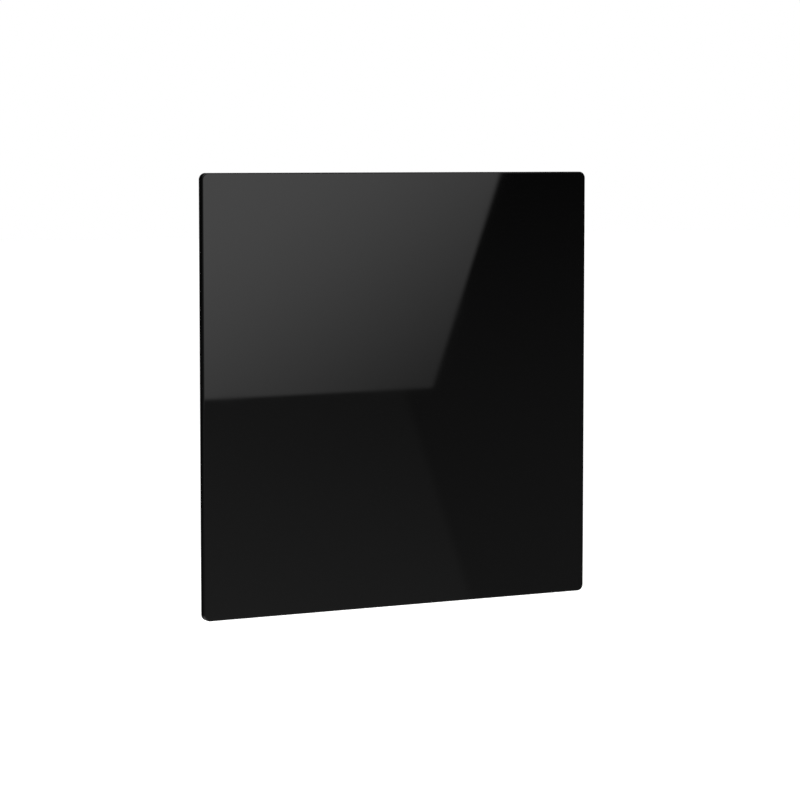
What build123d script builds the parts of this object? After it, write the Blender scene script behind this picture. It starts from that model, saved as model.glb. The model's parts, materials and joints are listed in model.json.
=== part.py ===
from build123d import *
import os
from math import cos, radians, sin, sqrt

os.makedirs("parts", exist_ok=True)

# Frame: +Z up, +Y into the wall, +X to the right of someone who faces the heater. The origin is the centre of
# the four wall slots, on the wall. A size that ends in _out is a distance from the wall into the room.

# Glass
panel_width = 600.0
panel_height = 600.0
panel_corner = 9.0
front_pane = 5.0
rear_pane = 5.0
interlayer = 0.95
interlayer_setback = 1.0
pane_edge_round = 1.5  # the polished, rounded outer edge of each pane
pane_arris = 0.4  # the small bevel of the edges between the panes and at the hole
wall_gap = 30.0  # wall to the back of the rear pane

# Heating film and busbars
film_thickness = 0.4
film_margin = 18.0
busbar_width = 8.0
busbar_thickness = 0.2
busbar_creepage = 12.0  # between the film and the busbars' runs below and beside it
lead_hole_radius = 13.0
lead_hole_side_gap = 36.0  # from the box's left side
lead_radius = 1.3
lead_offset = 6.0  # each lead's distance from the hole's centre, sideways
lead_bend = 7.0

# Hanger rails on the glass
tape_thickness = 0.8
tape_setback = 1.0
rail_spacing = 360.0
rail_box_gap = 29.0  # between the rails' lower ends and the control box
rail_width = 40.0
rail_base = 2.5
rail_height = 10.0
rail_wall = 2.2
rail_lip = 2.0
rail_edge_round = 0.5
rail_slot = 8.2
channel_width = 22.0
end_cap_plate = 2.0
end_cap_plug = 8.0
plug_clearance = 0.2

# Hanging hardware
hook_inset = 35.0  # from a rail's end to the screw in it
nut_thickness = 4.5
nut_clearance = 0.5
thread_radius = 3.0
thread_clearance = 0.05
sleeve_radius = 7.0
neck_radius = 3.5
head_radius = 6.5
head_thickness = 2.5
head_chamfer = 0.6
socket_across_flats = 4.0
socket_depth = 1.6
hang_clearance = 0.3  # round a neck in its keyhole, and on both sides of the web it hooks over
lift = 14.0  # the upward travel that brings the heads to the keyholes' wide ends
keyhole_entry_radius = 7.5

# Wall frame
sheet = 1.5
bend_radius = 2.0
post_end = 5.0  # each post's ends past the rails' ends
post_depth = 14.0
post_web = 34.0
wall_flange = 24.0
joining_flange = 16.0
joining_flange_out = 3.0
flange_corner = 4.0
wall_slot_end_gap = 20.0  # from a post's end to its wall slot
wall_slot_radius = 3.0
wall_slot_length = 12.0
wall_slot_inset = 12.5  # from the post's side wall to the slot's centre
relief_length = 90.0
relief_width = 14.0
crossbar_inset = 20.0  # from the screws' rows to the crossbars' middles
crossbar_height = 30.0
crossbar_flange = 9.0
crossbar_end_gap = 3.0
rivet_radius = 1.6
rivet_head_radius = 3.2
rivet_head = 1.1
rivet_head_round = 0.9
rivet_tail_radius = 2.6
rivet_tail = 1.0
rivet_edge = 6.5
rivet_pitch = 16.0
rivet_clearance = 0.05

# Control box
box_width = 190.0
box_height = 84.0
box_corner = 6.0
box_side_margin = 50.0  # from the panel's right edge
box_bottom_margin = 22.0  # from the panel's lower edge
box_wall = 2.2
box_base = 2.0
box_base_chamfer = 0.8
window_margin = 1.0  # the round window's radius past the hole in the glass
box_wall_gap = 5.0  # lid to wall
lid_thickness = 2.0
lid_edge_round = 1.0
lid_lip_wall = 1.5
lid_lip_depth = 3.0
lid_clearance = 0.3
gasket_thickness = 1.0
gasket_setback = 0.4
boss_radius = 4.0
boss_stand_off = 1.0  # between a lid boss and the walls beside it
boss_rib = 1.5
lid_screw_radius = 1.3
lid_screw_length = 12.0
screw_clearance = 0.05
pilot_extra = 0.5  # a pilot hole's depth past its screw
lid_screw_head_radius = 2.8
lid_screw_head = 1.3
lid_head_clearance = 0.3
lid_field = (84.0, 40.0)  # a bare sunk field in the middle of the lid
lid_field_corner = 3.0
lid_field_depth = 0.4

# Vents
vent_width = 2.0
vent_length = 11.0
vent_pitch = 6.0
lower_vent_start = 65.0  # the first vent's distance from the box's left side
lower_vent_end = 11.0  # from the status light to the last vent
upper_vent_start = 62.0
upper_vent_end = 20.0  # from the box's right side

# Circuit board and what stands on it
board_thickness = 1.6
board_corner = 2.0
board_hole_clearance = 0.2
board_left_gap = 57.0  # the wiring bay, from the box's left side
board_right_gap = 43.0  # the switch's bay, from the box's right side
board_end_gap = 6.0  # from the box's upper and lower sides
board_post = 4.2
board_post_radius = 3.0
board_screw_inset = 4.0
board_screw_radius = 0.9
board_screw_length = 5.2
board_screw_head_radius = 1.9
board_screw_head = 1.3
floor_rib = 1.2
floor_rib_height = 2.0
bay_rib_height = 6.0
bay_rib_gap = 3.0
terminal_poles = 6
terminal_pitch = 5.08
terminal_depth = 8.2
terminal_height = 10.0
terminal_side_gap = 1.0  # from the board's left edge
terminal_bottom = 21.5  # from the board's lower edge to the block's middle
terminal_chamfer = 2.0
terminal_screw_radius = 1.8
terminal_screw_depth = 2.5
terminal_screw_head = 1.4
wire_entry_height = 3.5
wire_entry_radius = 1.6
wire_entry_depth = 6.0
lead_insertion = 3.0
relay_size = (12.7, 28.5, 12.5)
relay_side = 17.0  # a place with _side is from the board's left edge, with _bottom from its lower edge
relay_top = 19.5  # with _top from its upper edge, and with _far_side from its right edge
power_module_size = (20.0, 34.0, 12.5)
power_module_top = 22.0
suppressor_size = (13.0, 5.0, 11.0)
suppressor_side = 18.5
suppressor_bottom = 23.0
package_round = 0.8
capacitor_radius = 4.0
capacitor_height = 11.5
capacitor_groove = 0.4
capacitor_groove_height = 1.4  # the same as its height above the board
capacitor_side = 32.0
capacitor_bottom = 17.0
fuse_radius = 4.25
fuse_height = 7.7
fuse_side = 17.5
fuse_bottom = 12.0
radio_board_size = (18.0, 25.5, 0.8)
radio_can_size = (15.0, 17.5, 2.4)
radio_far_side = 14.0
radio_top = 20.0
sensor_radius = 2.3
sensor_flat = 1.4
sensor_height = 4.8
sensor_light_gap = 17.0  # from the status light
sensor_bottom = 2.6
header_size = (7.0, 10.0, 7.0)
header_far_side = 4.5
header_bottom = 24.0

# Push button, status light and their hardware
button_side_gap = 54.0  # from the box's right side
light_side_gap = 66.0
button_radius = 3.0
button_clearance = 0.1
button_proud = 0.9
button_travel = 1.0
button_collar_radius = 4.2
button_collar = 1.0
button_dish = 0.3
stem_radius = 1.5
tact_size = (6.2, 3.8, 6.8)
tact_axis_height = 3.5
plunger_radius = 1.7
plunger_proud = 1.4
plunger_seat = 0.4
plunger_clearance = 0.1
plunger_over_travel = 0.4
light_radius = 1.5
light_proud = 0.6
light_clearance = 0.05
light_collar_radius = 2.6
light_collar = 0.8
led_radius = 1.5
led_length = 4.0
led_holder_half = 2.1
led_proud = 1.2
led_gap = 0.3

# Rocker switch
switch_side_gap = 28.0  # from the box's right side to the switch's middle
switch_body_length = 19.0
switch_body_width = 13.0
switch_body_height = 14.0
switch_clearance = 0.1
bezel_length = 21.0
bezel_width = 15.0
bezel_height = 2.0
bezel_corner = 1.5
bezel_round = 0.5
well_length = 16.8
well_width = 10.6
well_depth = 8.0
pivot_depth = 3.0  # from the bezel's face to the rocker's axle
pivot_radius = 1.0
pivot_clearance = 0.05
pivot_length = 0.8
pivot_seat = 0.9
rocker_gap = 0.3
rocker_tilt = 9.0
rocker_waist = 2.2
rocker_tip = 3.4
rocker_back = 2.5
tab_width = 4.8
tab_thickness = 0.8
tab_length = 7.0
tab_pitch = 10.0
tab_hole_radius = 0.8
switch_wire_radius = 0.9
switch_wire_step = 4.0
switch_wire_bend = 4.0

# Cable gland
gland_height = 42.0  # above the box's lower edge
gland_across_flats = 19.0
gland_flange = 5.0
gland_barrel_radius = 7.5
gland_barrel = 10.0
gland_tail_radius = 7.6
gland_tail = 10.0
gland_tail_clearance = 0.1
gland_bore_radius = 5.0
seal_radius = 6.2
seal_bore_radius = 3.4
seal_length = 9.0
seal_clearance = 0.05
dome_gap = 0.5
dome_mouth_radius = 4.4
dome_mouth = 3.0
dome_clearance = 0.1
dome_round = 2.0
locknut_across_flats = 18.0
locknut_thickness = 4.0

# Thermal cut-out
cutout_side_gap = 30.0  # from the box's left side
cutout_top_gap = 14.0
cutout_radius = 8.0
cutout_cap = 3.0
cutout_body_radius = 7.0
cutout_height = 10.0
cutout_window_clearance = 0.6
cutout_tab_pitch = 10.0
cutout_tab_width = 4.8
cutout_tab_length = 6.0
cutout_wire_radius = 1.1
cutout_wire_bend = 2.5
cutout_wire_rise = 3.0  # from a tab's end towards the wall
cutout_wire_sides = (18.0, 22.0)  # from the cut-out's axis to each wire's way down
clip_width = 5.0
clip_sheet = 0.6
clip_foot = 7.0
clip_bend = 1.0
clip_clearance = 0.3
clip_screw_radius = 1.2
clip_screw_head_radius = 2.2
clip_screw_head = 1.2
clip_screw_length = 1.6
clip_leg = cutout_radius + clip_clearance + clip_sheet / 2
clip_feet = clip_leg + clip_foot / 2

# Layers of the glass, from the wall out
rear_pane_out = wall_gap
rear_layer_out = rear_pane_out + rear_pane
film_out = rear_layer_out + interlayer
front_layer_out = film_out + film_thickness
front_pane_out = front_layer_out + interlayer
busbar_out = film_out - busbar_thickness
tape_out = wall_gap - tape_thickness

# Edges of the film and the box
film_width = panel_width - 2 * film_margin
film_top = panel_height / 2 - film_margin
run_z = -panel_height / 2 + film_margin + busbar_width / 2
film_bottom = run_z + busbar_width / 2 + busbar_creepage
box_right = panel_width / 2 - box_side_margin
box_left = box_right - box_width
box_bottom = -panel_height / 2 + box_bottom_margin
box_top = box_bottom + box_height
box_x = (box_left + box_right) / 2
box_z = (box_bottom + box_top) / 2

# Layers of the box, from the wall out
lid_under_out = box_wall_gap + lid_thickness
rim_out = lid_under_out + gasket_thickness
floor_out = tape_out - box_base
boss_rib_out = rim_out + lid_lip_depth
inner_middle_out = (lid_under_out + floor_out) / 2
board_back_out = floor_out - board_post
board_face_out = board_back_out - board_thickness
button_out = board_face_out - tact_axis_height
wire_out = board_face_out - wire_entry_height

# Places in the box
board_left = box_left + board_left_gap
board_right = box_right - board_right_gap
board_bottom = box_bottom + board_end_gap
board_top = box_top - board_end_gap
board_width = board_right - board_left
board_height = board_top - board_bottom
board_x = (board_left + board_right) / 2
board_z = (board_bottom + board_top) / 2
inner_bottom = box_bottom + box_wall
button_x = box_right - button_side_gap
light_x = box_right - light_side_gap
switch_x = box_right - switch_side_gap
gland_z = box_bottom + gland_height
cutout_x = box_left + cutout_side_gap
cutout_z = box_top - cutout_top_gap
relay_x = board_left + relay_side
radio_x = board_right - radio_far_side
power_module_x = (relay_x + relay_size[0] / 2 + radio_x - radio_board_size[0] / 2) / 2
relay_place = (relay_x, board_top - relay_top)
radio_place = (radio_x, board_top - radio_top)
power_module_place = (power_module_x, board_top - power_module_top)
suppressor_place = (board_left + suppressor_side, board_bottom + suppressor_bottom)
capacitor_place = (board_left + capacitor_side, board_bottom + capacitor_bottom)
fuse_place = (board_left + fuse_side, board_bottom + fuse_bottom)
sensor_place = (light_x - sensor_light_gap, board_bottom + sensor_bottom)
header_place = (board_right - header_far_side, board_bottom + header_bottom)
terminal_left = board_left + terminal_side_gap
terminal_z = board_bottom + terminal_bottom
pole_z = [terminal_z + terminal_pitch * (pole - (terminal_poles - 1) / 2) for pole in range(terminal_poles)]
middle_pole_z = pole_z[2:4]
upper_pole_z = pole_z[4:]
lead_hole_x = box_left + lead_hole_side_gap
lead_hole_z = sum(upper_pole_z) / 2
lead_x = [lead_hole_x - lead_offset, lead_hole_x + lead_offset]
lead_window_radius = lead_hole_radius + window_margin
cutout_window_radius = cutout_radius + cutout_window_clearance
boss_inset = box_wall + boss_stand_off + boss_radius
boss_grid = (box_width - 2 * boss_inset, box_height - 2 * boss_inset)
board_grid = (board_width - 2 * board_screw_inset, board_height - 2 * board_screw_inset)
lower_vents = 1 + int((light_x - lower_vent_end - box_left - lower_vent_start) // vent_pitch)
upper_vents = 1 + int((box_width - upper_vent_end - upper_vent_start) // vent_pitch)

# Places of the hanging hardware
rail_length = -2 * (box_top + rail_box_gap)
hook_pitch = rail_length - 2 * hook_inset
post_length = rail_length + 2 * post_end
wall_slot_pitch = post_length - 2 * wall_slot_end_gap
crossbar_pitch = hook_pitch - 2 * crossbar_inset
rail_lip_out = tape_out - rail_height
nut_out = rail_lip_out + rail_lip
neck_out = post_depth + hang_clearance
head_out = post_depth - sheet - hang_clearance
keyhole_radius = neck_radius + hang_clearance
post_half = post_web / 2
wall_slot_x = rail_spacing / 2 + post_half + wall_slot_inset
crossbar_half = rail_spacing / 2 - post_half - crossbar_end_gap
crossbar_out = joining_flange_out + sheet
rivet_x = crossbar_half - rivet_edge
rivet_places = [
    (side * rivet_x, row * crossbar_pitch / 2 + step * rivet_pitch / 2)
    for side in (-1, 1)
    for row in (-1, 1)
    for step in (-1, 1)
]


def from_wall(out):
    """The plane at a distance from the wall: X to the right, Z up, normal into the room."""
    return Plane.XZ.offset(out)


def facing_down(height):
    """A level plane with X to the right and its second axis out of the wall, normal down."""
    return Plane(origin=(0, 0, height), x_dir=(1, 0, 0), z_dir=(0, 0, -1))


# ---- Glass ----

with BuildPart() as front_glass:
    with BuildSketch(from_wall(front_pane_out)):
        RectangleRounded(panel_width, panel_height, panel_corner)
    extrude(amount=front_pane)
    fillet(front_glass.faces().sort_by(Axis.Y)[0].edges(), pane_edge_round)
    chamfer(front_glass.faces().sort_by(Axis.Y)[-1].edges(), pane_arris)
front_glass.part.label = "front_glass"
export_step(front_glass.part, "parts/front_glass.step")

with BuildPart() as rear_glass:
    with BuildSketch(from_wall(rear_pane_out)):
        RectangleRounded(panel_width, panel_height, panel_corner)
    extrude(amount=rear_pane)
    fillet(rear_glass.faces().sort_by(Axis.Y)[-1].edges(), pane_edge_round)
    chamfer(rear_glass.faces().sort_by(Axis.Y)[0].edges(), pane_arris)
    with BuildSketch(from_wall(rear_pane_out)):
        with Locations((lead_hole_x, lead_hole_z)):
            Circle(lead_hole_radius)
    extrude(amount=rear_pane, mode=Mode.SUBTRACT)
    chamfer(rear_glass.edges(Select.LAST).filter_by(GeomType.CIRCLE), pane_arris)
rear_glass.part.label = "rear_glass"
export_step(rear_glass.part, "parts/rear_glass.step")


def film_outline():
    """The film's rectangle, with a notch round the lead hole."""
    with Locations((0, (film_top + film_bottom) / 2)):
        Rectangle(film_width, film_top - film_bottom)
    notch_width = 2 * (lead_offset + busbar_width / 2 + busbar_creepage)
    with Locations((lead_hole_x, lead_hole_z)):
        Rectangle(notch_width, 2 * (lead_hole_z - film_bottom), mode=Mode.SUBTRACT)


def busbar_outline(side):
    """A strip down the film's side, along under the film and up to its lead, side -1 left or 1 right."""
    strip_x = side * (film_width - busbar_width) / 2
    riser_x = lead_hole_x + side * lead_offset
    pad_top = upper_pole_z[(side + 1) // 2] + busbar_width / 2
    with BuildLine() as route:
        Polyline((strip_x, film_top), (strip_x, run_z), (riser_x, run_z), (riser_x, pad_top))
    trace(route.line, line_width=busbar_width)


layer_size = (panel_width - 2 * interlayer_setback, panel_height - 2 * interlayer_setback)

with BuildPart() as front_interlayer:
    with BuildSketch(from_wall(front_layer_out)):
        RectangleRounded(*layer_size, panel_corner - interlayer_setback)
    extrude(amount=interlayer)
front_interlayer.part.label = "front_interlayer"
export_step(front_interlayer.part, "parts/front_interlayer.step")

with BuildPart() as heating_film:
    with BuildSketch(from_wall(film_out)):
        film_outline()
    extrude(amount=film_thickness)
heating_film.part.label = "heating_film"
export_step(heating_film.part, "parts/heating_film.step")

for side, name in ((-1, "left_busbar"), (1, "right_busbar")):
    with BuildPart() as busbar:
        with BuildSketch(from_wall(busbar_out)):
            busbar_outline(side)
        extrude(amount=busbar_thickness)
    busbar.part.label = name
    export_step(busbar.part, f"parts/{name}.step")

with BuildPart() as rear_interlayer:
    with BuildSketch(from_wall(rear_layer_out)):
        RectangleRounded(*layer_size, panel_corner - interlayer_setback)
        with Locations((lead_hole_x, lead_hole_z)):
            Circle(lead_hole_radius, mode=Mode.SUBTRACT)
    extrude(amount=interlayer + film_thickness)
    with BuildSketch(from_wall(film_out)):
        film_outline()
    extrude(amount=film_thickness, mode=Mode.SUBTRACT)
    with BuildSketch(from_wall(busbar_out)):
        busbar_outline(-1)
        busbar_outline(1)
    extrude(amount=busbar_thickness, mode=Mode.SUBTRACT)
rear_interlayer.part.label = "rear_interlayer"
export_step(rear_interlayer.part, "parts/rear_interlayer.step")


# ---- Hanger rails ----

cavity_width = channel_width - 2 * rail_wall
cavity_height = rail_height - rail_base - rail_lip


def rail_outline(rail_x):
    """The rail's outer shape, cut level: a wide base on the glass and a channel towards the wall."""
    with Locations((rail_x, -tape_out)):
        Rectangle(rail_width, rail_base, align=(Align.CENTER, Align.MIN))
        Rectangle(channel_width, rail_height, align=(Align.CENTER, Align.MIN))


for side, name in ((-1, "left"), (1, "right")):
    rail_x = side * rail_spacing / 2

    with BuildPart() as rail_tape:
        with BuildSketch(from_wall(tape_out)):
            with Locations((rail_x, 0)):
                Rectangle(rail_width - 2 * tape_setback, rail_length - 2 * tape_setback)
        extrude(amount=tape_thickness)
    rail_tape.part.label = f"{name}_rail_tape"
    export_step(rail_tape.part, f"parts/{name}_rail_tape.step")

    with BuildPart() as hanger_rail:
        with BuildSketch(Plane.XY.offset(-rail_length / 2)) as rail_section:
            rail_outline(rail_x)
            fillet(rail_section.vertices().group_by(Axis.Y)[-1], rail_edge_round)
            with Locations((rail_x, -tape_out + rail_base)):
                Rectangle(cavity_width, cavity_height, align=(Align.CENTER, Align.MIN), mode=Mode.SUBTRACT)
                Rectangle(rail_slot, rail_height, align=(Align.CENTER, Align.MIN), mode=Mode.SUBTRACT)
        extrude(amount=rail_length)
    hanger_rail.part.label = f"{name}_hanger_rail"
    export_step(hanger_rail.part, f"parts/{name}_hanger_rail.step")

hook_places = GridLocations(rail_spacing, hook_pitch, 2, 2)

with BuildPart() as rail_end_caps:
    for side in (-1, 1):
        for end in (-1, 1):
            with BuildSketch(Plane.XY.offset(end * rail_length / 2)):
                rail_outline(side * rail_spacing / 2)
            extrude(amount=end * end_cap_plate)
            with BuildSketch(Plane.XY.offset(end * rail_length / 2)):
                with Locations((side * rail_spacing / 2, -tape_out + rail_base + cavity_height / 2)):
                    Rectangle(cavity_width - 2 * plug_clearance, cavity_height - 2 * plug_clearance)
            extrude(amount=-end * end_cap_plug)
rail_end_caps.part.label = "rail_end_caps"
export_step(rail_end_caps.part, "parts/rail_end_caps.step")

with BuildPart() as slot_nuts:
    with BuildSketch(from_wall(nut_out)):
        with hook_places:
            nut_width = cavity_width - 2 * nut_clearance
            Rectangle(nut_width, nut_width)
            Circle(thread_radius + thread_clearance, mode=Mode.SUBTRACT)
    extrude(amount=nut_thickness)
slot_nuts.part.label = "slot_nuts"
export_step(slot_nuts.part, "parts/slot_nuts.step")

with BuildPart() as spacer_sleeves:
    with BuildSketch(from_wall(neck_out)):
        with hook_places:
            Circle(sleeve_radius)
            Circle(thread_radius + thread_clearance, mode=Mode.SUBTRACT)
    extrude(amount=rail_lip_out - neck_out)
spacer_sleeves.part.label = "spacer_sleeves"
export_step(spacer_sleeves.part, "parts/spacer_sleeves.step")

with BuildPart() as shoulder_screws:
    with BuildSketch(from_wall(head_out - head_thickness)):
        with hook_places:
            Circle(head_radius)
    extrude(amount=head_thickness)
    chamfer(shoulder_screws.faces().group_by(Axis.Y)[-1].edges(), head_chamfer)
    with BuildSketch(from_wall(head_out)):
        with hook_places:
            Circle(neck_radius)
    extrude(amount=neck_out - head_out)
    with BuildSketch(from_wall(neck_out)):
        with hook_places:
            Circle(thread_radius)
    extrude(amount=nut_out + nut_thickness - neck_out)
    with BuildSketch(from_wall(head_out - head_thickness)):
        with hook_places:
            RegularPolygon(socket_across_flats / 2, 6, major_radius=False)
    extrude(amount=socket_depth, mode=Mode.SUBTRACT)
shoulder_screws.part.label = "shoulder_screws"
export_step(shoulder_screws.part, "parts/shoulder_screws.step")


# ---- Wall frame ----

def post_section(side):
    """The post's bent sheet, cut level, from the flange on the wall over the web to the joining flange."""
    middle = side * rail_spacing / 2
    outer_wall = middle + side * (post_half - sheet / 2)
    inner_wall = middle - side * (post_half - sheet / 2)
    web = -(post_depth - sheet / 2)
    raised = -(joining_flange_out + sheet / 2)
    with BuildLine() as bent:
        FilletPolyline(
            (middle + side * (post_half + wall_flange), -sheet / 2),
            (outer_wall, -sheet / 2),
            (outer_wall, web),
            (inner_wall, web),
            (inner_wall, raised),
            (middle - side * (post_half + joining_flange), raised),
            radius=bend_radius,
        )
    trace(bent.line, line_width=sheet)


for side, name in ((-1, "left_wall_post"), (1, "right_wall_post")):
    with BuildPart() as wall_post:
        with BuildSketch(Plane.XY.offset(-post_length / 2)):
            post_section(side)
        extrude(amount=post_length)
        flange_ends = wall_post.edges().filter_by(Axis.Y).group_by(Axis.X)
        fillet(flange_ends[0] + flange_ends[-1], flange_corner)
        with BuildSketch(from_wall(0)):
            with Locations((side * wall_slot_x, 0)), GridLocations(0, wall_slot_pitch, 1, 2):
                SlotOverall(wall_slot_length, 2 * wall_slot_radius)
        extrude(amount=sheet, mode=Mode.SUBTRACT)
        with BuildSketch(from_wall(post_depth - sheet)):
            with Locations((side * rail_spacing / 2, 0)), GridLocations(0, hook_pitch, 1, 2):
                Circle(keyhole_radius)
                Rectangle(2 * keyhole_radius, lift, align=(Align.CENTER, Align.MIN))
                with Locations((0, lift)):
                    Circle(keyhole_entry_radius)
            with Locations((side * rail_spacing / 2, lift)):
                SlotOverall(relief_length, relief_width, rotation=90)
        extrude(amount=sheet, mode=Mode.SUBTRACT)
        with BuildSketch(from_wall(joining_flange_out)):
            with Locations([place for place in rivet_places if place[0] * side > 0]):
                Circle(rivet_radius + rivet_clearance)
        extrude(amount=sheet, mode=Mode.SUBTRACT)
    wall_post.part.label = name
    export_step(wall_post.part, f"parts/{name}.step")

for row, name in ((1, "upper_crossbar"), (-1, "lower_crossbar")):
    with BuildPart() as crossbar:
        with BuildSketch(Plane.YZ.offset(-crossbar_half)):
            middle = row * crossbar_pitch / 2
            edge = (crossbar_height - sheet) / 2
            tip = -(crossbar_out + crossbar_flange)
            web = -(crossbar_out + sheet / 2)
            with BuildLine():
                FilletPolyline(
                    (tip, middle + edge),
                    (web, middle + edge),
                    (web, middle - edge),
                    (tip, middle - edge),
                    radius=bend_radius,
                )
            trace(line_width=sheet)
        extrude(amount=2 * crossbar_half)
        with BuildSketch(from_wall(crossbar_out)):
            with Locations([place for place in rivet_places if place[1] * row > 0]):
                Circle(rivet_radius + rivet_clearance)
        extrude(amount=sheet, mode=Mode.SUBTRACT)
    crossbar.part.label = name
    export_step(crossbar.part, f"parts/{name}.step")

with BuildPart() as frame_rivets:
    with BuildSketch(from_wall(joining_flange_out - rivet_tail)):
        with Locations(rivet_places):
            Circle(rivet_tail_radius)
    extrude(amount=rivet_tail)
    with BuildSketch(from_wall(joining_flange_out)):
        with Locations(rivet_places):
            Circle(rivet_radius)
    extrude(amount=2 * sheet)
    with BuildSketch(from_wall(crossbar_out + sheet)):
        with Locations(rivet_places):
            Circle(rivet_head_radius)
    extrude(amount=rivet_head)
    fillet(frame_rivets.faces().group_by(Axis.Y)[0].edges(), rivet_head_round)
frame_rivets.part.label = "frame_rivets"
export_step(frame_rivets.part, "parts/frame_rivets.step")


# ---- Control box: housing, tape, gasket, lid ----

def four_corners(x, z, size):
    """The corners of a rectangle round a middle, as X and Z."""
    return [(x + side * size[0] / 2, z + end * size[1] / 2) for side in (-1, 1) for end in (-1, 1)]


def vent_row(start, count):
    """The middles of a row of vents, as X and distance from the wall."""
    return [(box_left + start + step * vent_pitch, inner_middle_out) for step in range(count)]


box_middle = (box_x, box_z)
inner_size = (box_width - 2 * box_wall, box_height - 2 * box_wall)
inner_corner = box_corner - box_wall
boss_places = four_corners(box_x, box_z, boss_grid)
board_places = four_corners(board_x, board_z, board_grid)
clip_places = [(cutout_x - clip_feet, cutout_z), (cutout_x + clip_feet, cutout_z)]
lower_vent_places = vent_row(lower_vent_start, lower_vents)
upper_vent_places = vent_row(upper_vent_start, upper_vents)
gland_place = (-inner_middle_out, gland_z)

with BuildPart() as control_housing:
    with BuildSketch(from_wall(rim_out)):
        with Locations(box_middle):
            RectangleRounded(box_width, box_height, box_corner)
    extrude(amount=tape_out - rim_out)
    chamfer(control_housing.faces().sort_by(Axis.Y)[0].edges(), box_base_chamfer)
    with BuildSketch(from_wall(rim_out)):
        with Locations(box_middle):
            RectangleRounded(*inner_size, inner_corner)
    extrude(amount=floor_out - rim_out, mode=Mode.SUBTRACT)

    # low ribs under the board, and a taller one between the board and the wiring bay
    with BuildSketch(from_wall(floor_out - floor_rib_height)):
        with Locations((board_x, board_z)), GridLocations(0, board_grid[1] / 2, 1, 3):
            Rectangle(board_grid[0], floor_rib)
    extrude(amount=floor_rib_height)
    with BuildSketch(from_wall(floor_out - bay_rib_height)):
        with Locations((board_left - bay_rib_gap, box_z)):
            Rectangle(floor_rib, inner_size[1])
    extrude(amount=bay_rib_height)

    # posts under the board
    with BuildSketch(from_wall(board_back_out)):
        with Locations(board_places):
            Circle(board_post_radius)
    extrude(amount=board_post)

    # lid bosses, each tied to the two walls beside it
    with BuildSketch(from_wall(lid_under_out)):
        with Locations(boss_places):
            Circle(boss_radius)
    extrude(amount=floor_out - lid_under_out)
    with BuildSketch(from_wall(boss_rib_out)):
        for x, z in boss_places:
            toward_wall = (boss_inset - box_wall / 2) / 2
            with Locations((x + toward_wall * (1 if x > box_x else -1), z)):
                Rectangle(2 * toward_wall, boss_rib)
            with Locations((x, z + toward_wall * (1 if z > box_z else -1))):
                Rectangle(boss_rib, 2 * toward_wall)
    extrude(amount=floor_out - boss_rib_out)

    # pilot holes for the lid's, the board's and the clip's screws
    with BuildSketch(from_wall(lid_under_out)):
        with Locations(boss_places):
            Circle(lid_screw_radius + screw_clearance)
    extrude(amount=lid_screw_length + pilot_extra, mode=Mode.SUBTRACT)
    with BuildSketch(from_wall(board_back_out)):
        with Locations(board_places):
            Circle(board_screw_radius + screw_clearance)
    extrude(amount=board_screw_length - board_thickness + pilot_extra, mode=Mode.SUBTRACT)
    with BuildSketch(from_wall(floor_out)):
        with Locations(clip_places):
            Circle(clip_screw_radius + screw_clearance)
    extrude(amount=box_base, mode=Mode.SUBTRACT)

    # windows in the floor, for the film's leads and the thermal cut-out
    with BuildSketch(from_wall(floor_out)):
        with Locations((lead_hole_x, lead_hole_z)):
            Circle(lead_window_radius)
        with Locations((cutout_x, cutout_z)):
            Circle(cutout_window_radius)
    extrude(amount=box_base, mode=Mode.SUBTRACT)

    # lower wall: rocker switch, push button, status light and vents
    with BuildSketch(facing_down(inner_bottom)):
        with Locations((switch_x, inner_middle_out)):
            Rectangle(switch_body_length + 2 * switch_clearance, switch_body_width + 2 * switch_clearance)
        with Locations((button_x, button_out)):
            Circle(button_radius + button_clearance)
        with Locations((light_x, button_out)):
            Circle(light_radius + light_clearance)
        with Locations(lower_vent_places):
            SlotOverall(vent_length, vent_width, rotation=90)
    extrude(amount=box_wall, mode=Mode.SUBTRACT)

    # upper wall: vents
    with BuildSketch(facing_down(box_top)):
        with Locations(upper_vent_places):
            SlotOverall(vent_length, vent_width, rotation=90)
    extrude(amount=box_wall, mode=Mode.SUBTRACT)

    # left wall: cable gland
    with BuildSketch(Plane.YZ.offset(box_left)):
        with Locations(gland_place):
            Circle(gland_tail_radius + gland_tail_clearance)
    extrude(amount=box_wall, mode=Mode.SUBTRACT)
control_housing.part.label = "control_housing"
export_step(control_housing.part, "parts/control_housing.step")

with BuildPart() as housing_tape:
    with BuildSketch(from_wall(tape_out)):
        with Locations(box_middle):
            RectangleRounded(
                box_width - 2 * tape_setback, box_height - 2 * tape_setback, box_corner - tape_setback
            )
        with Locations((lead_hole_x, lead_hole_z)):
            Circle(lead_window_radius, mode=Mode.SUBTRACT)
        with Locations((cutout_x, cutout_z)):
            Circle(cutout_window_radius, mode=Mode.SUBTRACT)
    extrude(amount=tape_thickness)
housing_tape.part.label = "housing_tape"
export_step(housing_tape.part, "parts/housing_tape.step")

with BuildPart() as lid_gasket:
    with BuildSketch(from_wall(lid_under_out)):
        with Locations(box_middle):
            RectangleRounded(
                box_width - 2 * gasket_setback, box_height - 2 * gasket_setback, box_corner - gasket_setback
            )
            RectangleRounded(*inner_size, inner_corner, mode=Mode.SUBTRACT)
    extrude(amount=gasket_thickness)
lid_gasket.part.label = "lid_gasket"
export_step(lid_gasket.part, "parts/lid_gasket.step")

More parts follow.
